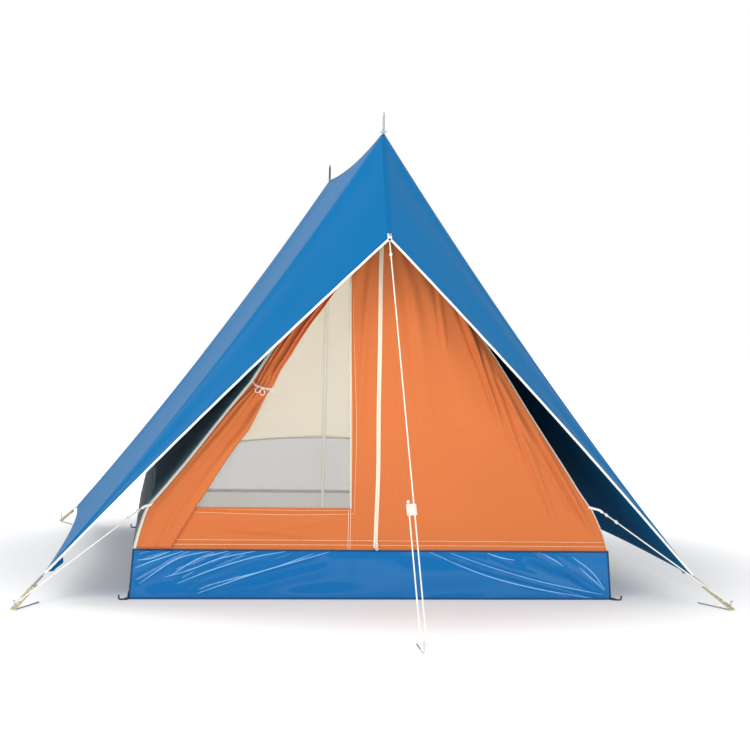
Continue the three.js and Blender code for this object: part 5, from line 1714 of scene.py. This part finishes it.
    def _creases(self) -> None:
        """The sharp creases on the front wall, half sunk in its surface, in a pale blue that is painted
        highlight along their crests.
        """
        lines = []
        for line in self.FRONT_CREASES:
            x, _, z = smooth_path([(x / MILLIMETRE, 0.0, z / MILLIMETRE) for x, z in line], 48).T
            lean = TUB_LEAN * (z - TUB_FOOT) / TUB_RISE + TUB_FOOT
            swell = self._swell(x, z, FLOOR_HALF_WIDTH - lean - np.abs(x), True)
            y = -(INNER_HALF + TUB_LEAN - lean + swell)
            radius = 0.0003 + 0.0019 * np.sin(math.pi * np.linspace(0.0, 1.0, len(x))) ** 0.5
            lines.append(Shape.tube(stack(x, y - 0.0010, z), radius, 8, squash=0.45, up=ALONG_Y))
        self.add(Shape.joined(lines), "tub_creases", "sheet_crease", "groundsheet_vinyl")

    def _seam(self, outline: Array) -> None:
        """Dark bands round the tub's top and foot, and up its front corners."""
        bands = []
        for levels, reach in self.TAPE_LEVELS:
            x = outline[:, 0] * (TUB_TOP_HALF + reach)
            y = outline[:, 1] * (INNER_HALF + reach)
            bands.append(Panel.of(np.array([stack(x, y, z) for z in levels])).skin(0.0009, wrap=True))
        t = np.linspace(0.0, 1.0, 12)
        reach = mix(TUB_LEAN, 0.0, t) - 0.0008
        height = mix(0.003, TUB_HEIGHT - 0.003, t)
        for side in Side:
            path = stack(side.value * (TUB_TOP_HALF + reach), -(INNER_HALF + reach), height)
            bands.append(Shape.tube(path, 0.0030, 10, up=ALONG_X))
        self.add(Shape.joined(bands), "tub_seam_tape", "dark_webbing", "groundsheet_vinyl")

    def _corner_loop(self, side: Side, end: End) -> None:
        """The short strap from a corner of the tub round its peg."""
        shape = Shape.tube(flipped(smooth_path(self.LOOP, 40), side, end), 0.0030, 8, squash=0.35)
        self.add(shape, f"tub_loop_{end.label}_{side.label}", "dark_webbing", "groundsheet_vinyl")


# Lines.

@dataclass(frozen=True)
class Lines(Maker):
    """The front guy line with its knots, and the two pull-out cords."""

    # Routes from the ring round the peg and back, from the knee to the peg, and of the tab's
    # tape, all in millimetres.
    GUY = ((0, -1214.5, 1313.1), (1.9, -1264, 1235.5), (4, -1321.8, 1145), (6.2, -1379.5, 1054.5),
           (8.4, -1437.3, 964), (10.5, -1495.1, 873.4), (12.7, -1552.8, 782.9), (14.9, -1610.6, 692.4),
           (17, -1668.4, 601.9), (19.2, -1726.1, 511.4), (21.4, -1783.9, 420.9), (23.6, -1841.7, 330.3),
           (25.7, -1899.4, 239.8), (27.9, -1957.2, 149.3), (29.8, -2006.7, 71.7), (31, -2039.7, 20),
           (30.3, -2041.6, 17.1), (28.4, -2043.1, 14.6), (25.4, -2044.2, 13), (22, -2044.6, 12.4),
           (18.6, -2044.2, 13), (15.6, -2043.1, 14.6), (13.7, -2041.6, 17.1), (13, -2039.7, 20),
           (11.8, -2006.7, 71.7), (9.9, -1957.2, 149.3), (7.7, -1899.4, 239.8), (5.6, -1841.7, 330.3),
           (3.4, -1783.9, 420.9), (2.9, -1770.7, 441.6))
    PULLOUT = ((852.1, -1021.2, 337.5), (882.7, -1038.7, 315.2), (913.3, -1056.1, 293),
               (943.9, -1073.6, 270.8), (974.4, -1091.1, 248.5), (1005, -1108.5, 226.2),
               (1035.6, -1126, 204), (1066.2, -1143.5, 181.8), (1096.8, -1160.9, 159.5),
               (1127.4, -1178.4, 137.2), (1158, -1195.8, 115), (1188.5, -1213.3, 92.8),
               (1219.1, -1230.8, 70.5), (1249.7, -1248.2, 48.2), (1280.3, -1265.7, 26))
    TAB = ((806, -1023.6, 349), (832, -1025, 343), (851, -1026.2, 337.5),
           (862, -1028.5, 329), (853, -1025.2, 335))
    guy_diameter: float = 0.0045
    pullout_diameter: float = 0.005
    PULLOUT_KNOTS = ((0.030, 0.0058), (0.075, 0.0064), (0.560, 0.0056))

    @staticmethod
    def _fine(points: Array, step: float) -> Array:
        """The same straight runs with more points along them."""
        out = [points[:1]]
        for a, b in zip(points[:-1], points[1:]):
            count = max(1, int(np.linalg.norm(b - a) / step))
            out.append(mix(a, b, np.linspace(0.0, 1.0, count + 1)[1:, None]))
        return np.concatenate(out)

    def _knot(self, name: str, centre: Array, along: Array, size: float) -> bpy.types.Object:
        """A small overhand knot: a cord that goes round itself one and a half times."""
        along = unit(along)
        side = unit(np.cross(along, [0.0, 1.0, 0.2]))
        other = np.cross(along, side)
        t = np.linspace(0.0, 3.0 * math.pi, 60)
        radius = size * (0.55 + 0.1 * np.cos(2.0 * t))
        path = (centre + np.outer((t / t[-1] - 0.5) * size * 1.5, along)
                + (radius * np.cos(t))[:, None] * side + (radius * np.sin(t))[:, None] * other)
        return self.add(Shape.tube(path, size * 0.42, 9, up=tuple(other)), name, "braided_cord", "cord")

    def _cord(self, obj: bpy.types.Object, path: Array, diameter: float, far_end: str,
              knots: list[bpy.types.Object]) -> None:
        """Works out the length of a cord's path, and nothing more."""
        float(run_of(path)[-1])

    def make(self) -> None:
        """Makes the cords and their knots."""
        route = np.array(self.GUY) / MILLIMETRE
        path = self._fine(route, 0.02)
        shape = Shape.tube(path, self.guy_diameter / 2.0, 10, up=ALONG_X)
        line = self.add(shape, "guy_cord", "braided_cord", "cord", "guy_line")
        start, end = route[1] - route[0], route[-1] - route[-2]
        knots = [self._knot("guy_knot_top", route[0] + 0.055 * unit(start), start, 0.0052),
                 self._knot("guy_knot_end", route[-1] + 0.002 * unit(end), end, 0.0050)]
        self._cord(line, path, self.guy_diameter, "knot", knots)
        for side in Side:
            self._pullout(side)

    def _pullout(self, side: Side) -> None:
        """One cord from the knee of the front wall to the corner peg."""
        route = flipped(np.array(self.PULLOUT) / MILLIMETRE, side)
        path = self._fine(route, 0.012)
        shape = Shape.tube(path, self.pullout_diameter / 2.0, 10)
        obj = self.add(shape, f"pullout_line_{side.label}", "braided_cord", "cord",
                       f"pullout_cord_{side.label}")
        tab = flipped(np.array(self.TAB) / MILLIMETRE, side)
        self.add(Shape.tube(smooth_path(tab, 24), 0.0046, 8, squash=0.3, up=ALONG_Y),
                 f"pullout_tab_{side.label}", "piping_tape", "piping_tape")
        run = route[-1] - route[0]
        knots = [self._knot(f"pullout_knot_{side.label}_{i}", route[0] + reach * unit(run), run, size)
                 for i, (reach, size) in enumerate(self.PULLOUT_KNOTS)]
        self._cord(obj, path, self.pullout_diameter, "object", knots)


# Hard pieces kept from the model.

@dataclass(frozen=True)
class Hardware(Maker):
    """Better materials for the rigid pieces of the model that stay."""

    MATERIALS = {"corner_hook": "plated_wire", "corner_peg": "plated_wire", "guy_peg": "plated_wire",
                 "tensioner": "clear_rubber", "tub_peg": "dark_wire", "hood_ring": "white_plastic",
                 "guy_runner": "white_plastic", "zip_slider": "pole_metal", "zip_pull": "pole_metal",
                 "front_pole_foot": "black_rubber", "rear_pole_foot": "black_rubber",
                 "front_pole": "pole_metal", "rear_pole": "pole_metal"}
    # The two spikes are alike, and the rear one gets the dark wire's finish: painted shade.
    SPIKES = {"front_pole_upper": "spike_metal", "rear_pole_upper": "dark_wire"}
    EDGES = {"tensioner": 0.0009, "corner_hook": 0.0005, "guy_runner": 0.0009, "zip_slider": 0.00035,
             "zip_pull": 0.0003}
    shoulder_z: float = FLY_PEAK - 0.024

    @staticmethod
    def _find(table: dict, name: str) -> object:
        """The table's first value whose key starts the name, or None."""
        return next((value for key, value in table.items() if name.startswith(key)), None)

    def make(self) -> None:
        """Gives each kept piece its material and softened edges."""
        for name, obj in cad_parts.items():
            material = self._find(self.MATERIALS, name)
            if material is None:
                continue
            obj.data.materials.clear()
            obj.data.materials.append(self.palette[material])
            if name in self.SPIKES:
                self._dress_spike(obj, self.palette[self.SPIKES[name]])
            self._soften(obj, self._find(self.EDGES, name))
            LOG.info("dressed %s", name)

    def _dress_spike(self, obj: bpy.types.Object, metal: bpy.types.Material) -> None:
        """Gives the bare spike above a pole's shoulder a second metal; the rear spike's dark metal is
        painted shade.
        """
        obj.data.materials.append(metal)
        for face in obj.data.polygons:
            if (obj.matrix_world @ face.center).z > self.shoulder_z:
                face.material_index = 1

    @staticmethod
    def _soften(obj: bpy.types.Object, width: Optional[float]) -> None:
        """Rounds a kept piece's sharp edges, or smooths it between them where width is None."""
        if width is not None:
            bevel = obj.modifiers.new("edge", "BEVEL")
            bevel.width = width
            bevel.segments = 2
            bevel.limit_method = "ANGLE"
            bevel.angle_limit = math.radians(40.0)
        else:
            smoothing = obj.modifiers.new("shade", "EDGE_SPLIT")
            smoothing.split_angle = math.radians(42.0)
            obj.data.polygons.foreach_set("use_smooth", np.ones(len(obj.data.polygons), dtype=bool))


# The whole scene.


def main() -> None:
    """Builds the scene: the cords first, then every other piece."""
    logging.basicConfig(level=logging.INFO)
    CameraSolution().make()
    groups = Groups()
    Studio(groups)
    palette = make_palette(groups)
    for kind in (Lines, Flysheet, InnerTent, Doors, Groundsheet, Hardware):
        kind(palette).make()
        LOG.info("finished %s", kind.__name__)


if __name__ == "__main__":
    main()
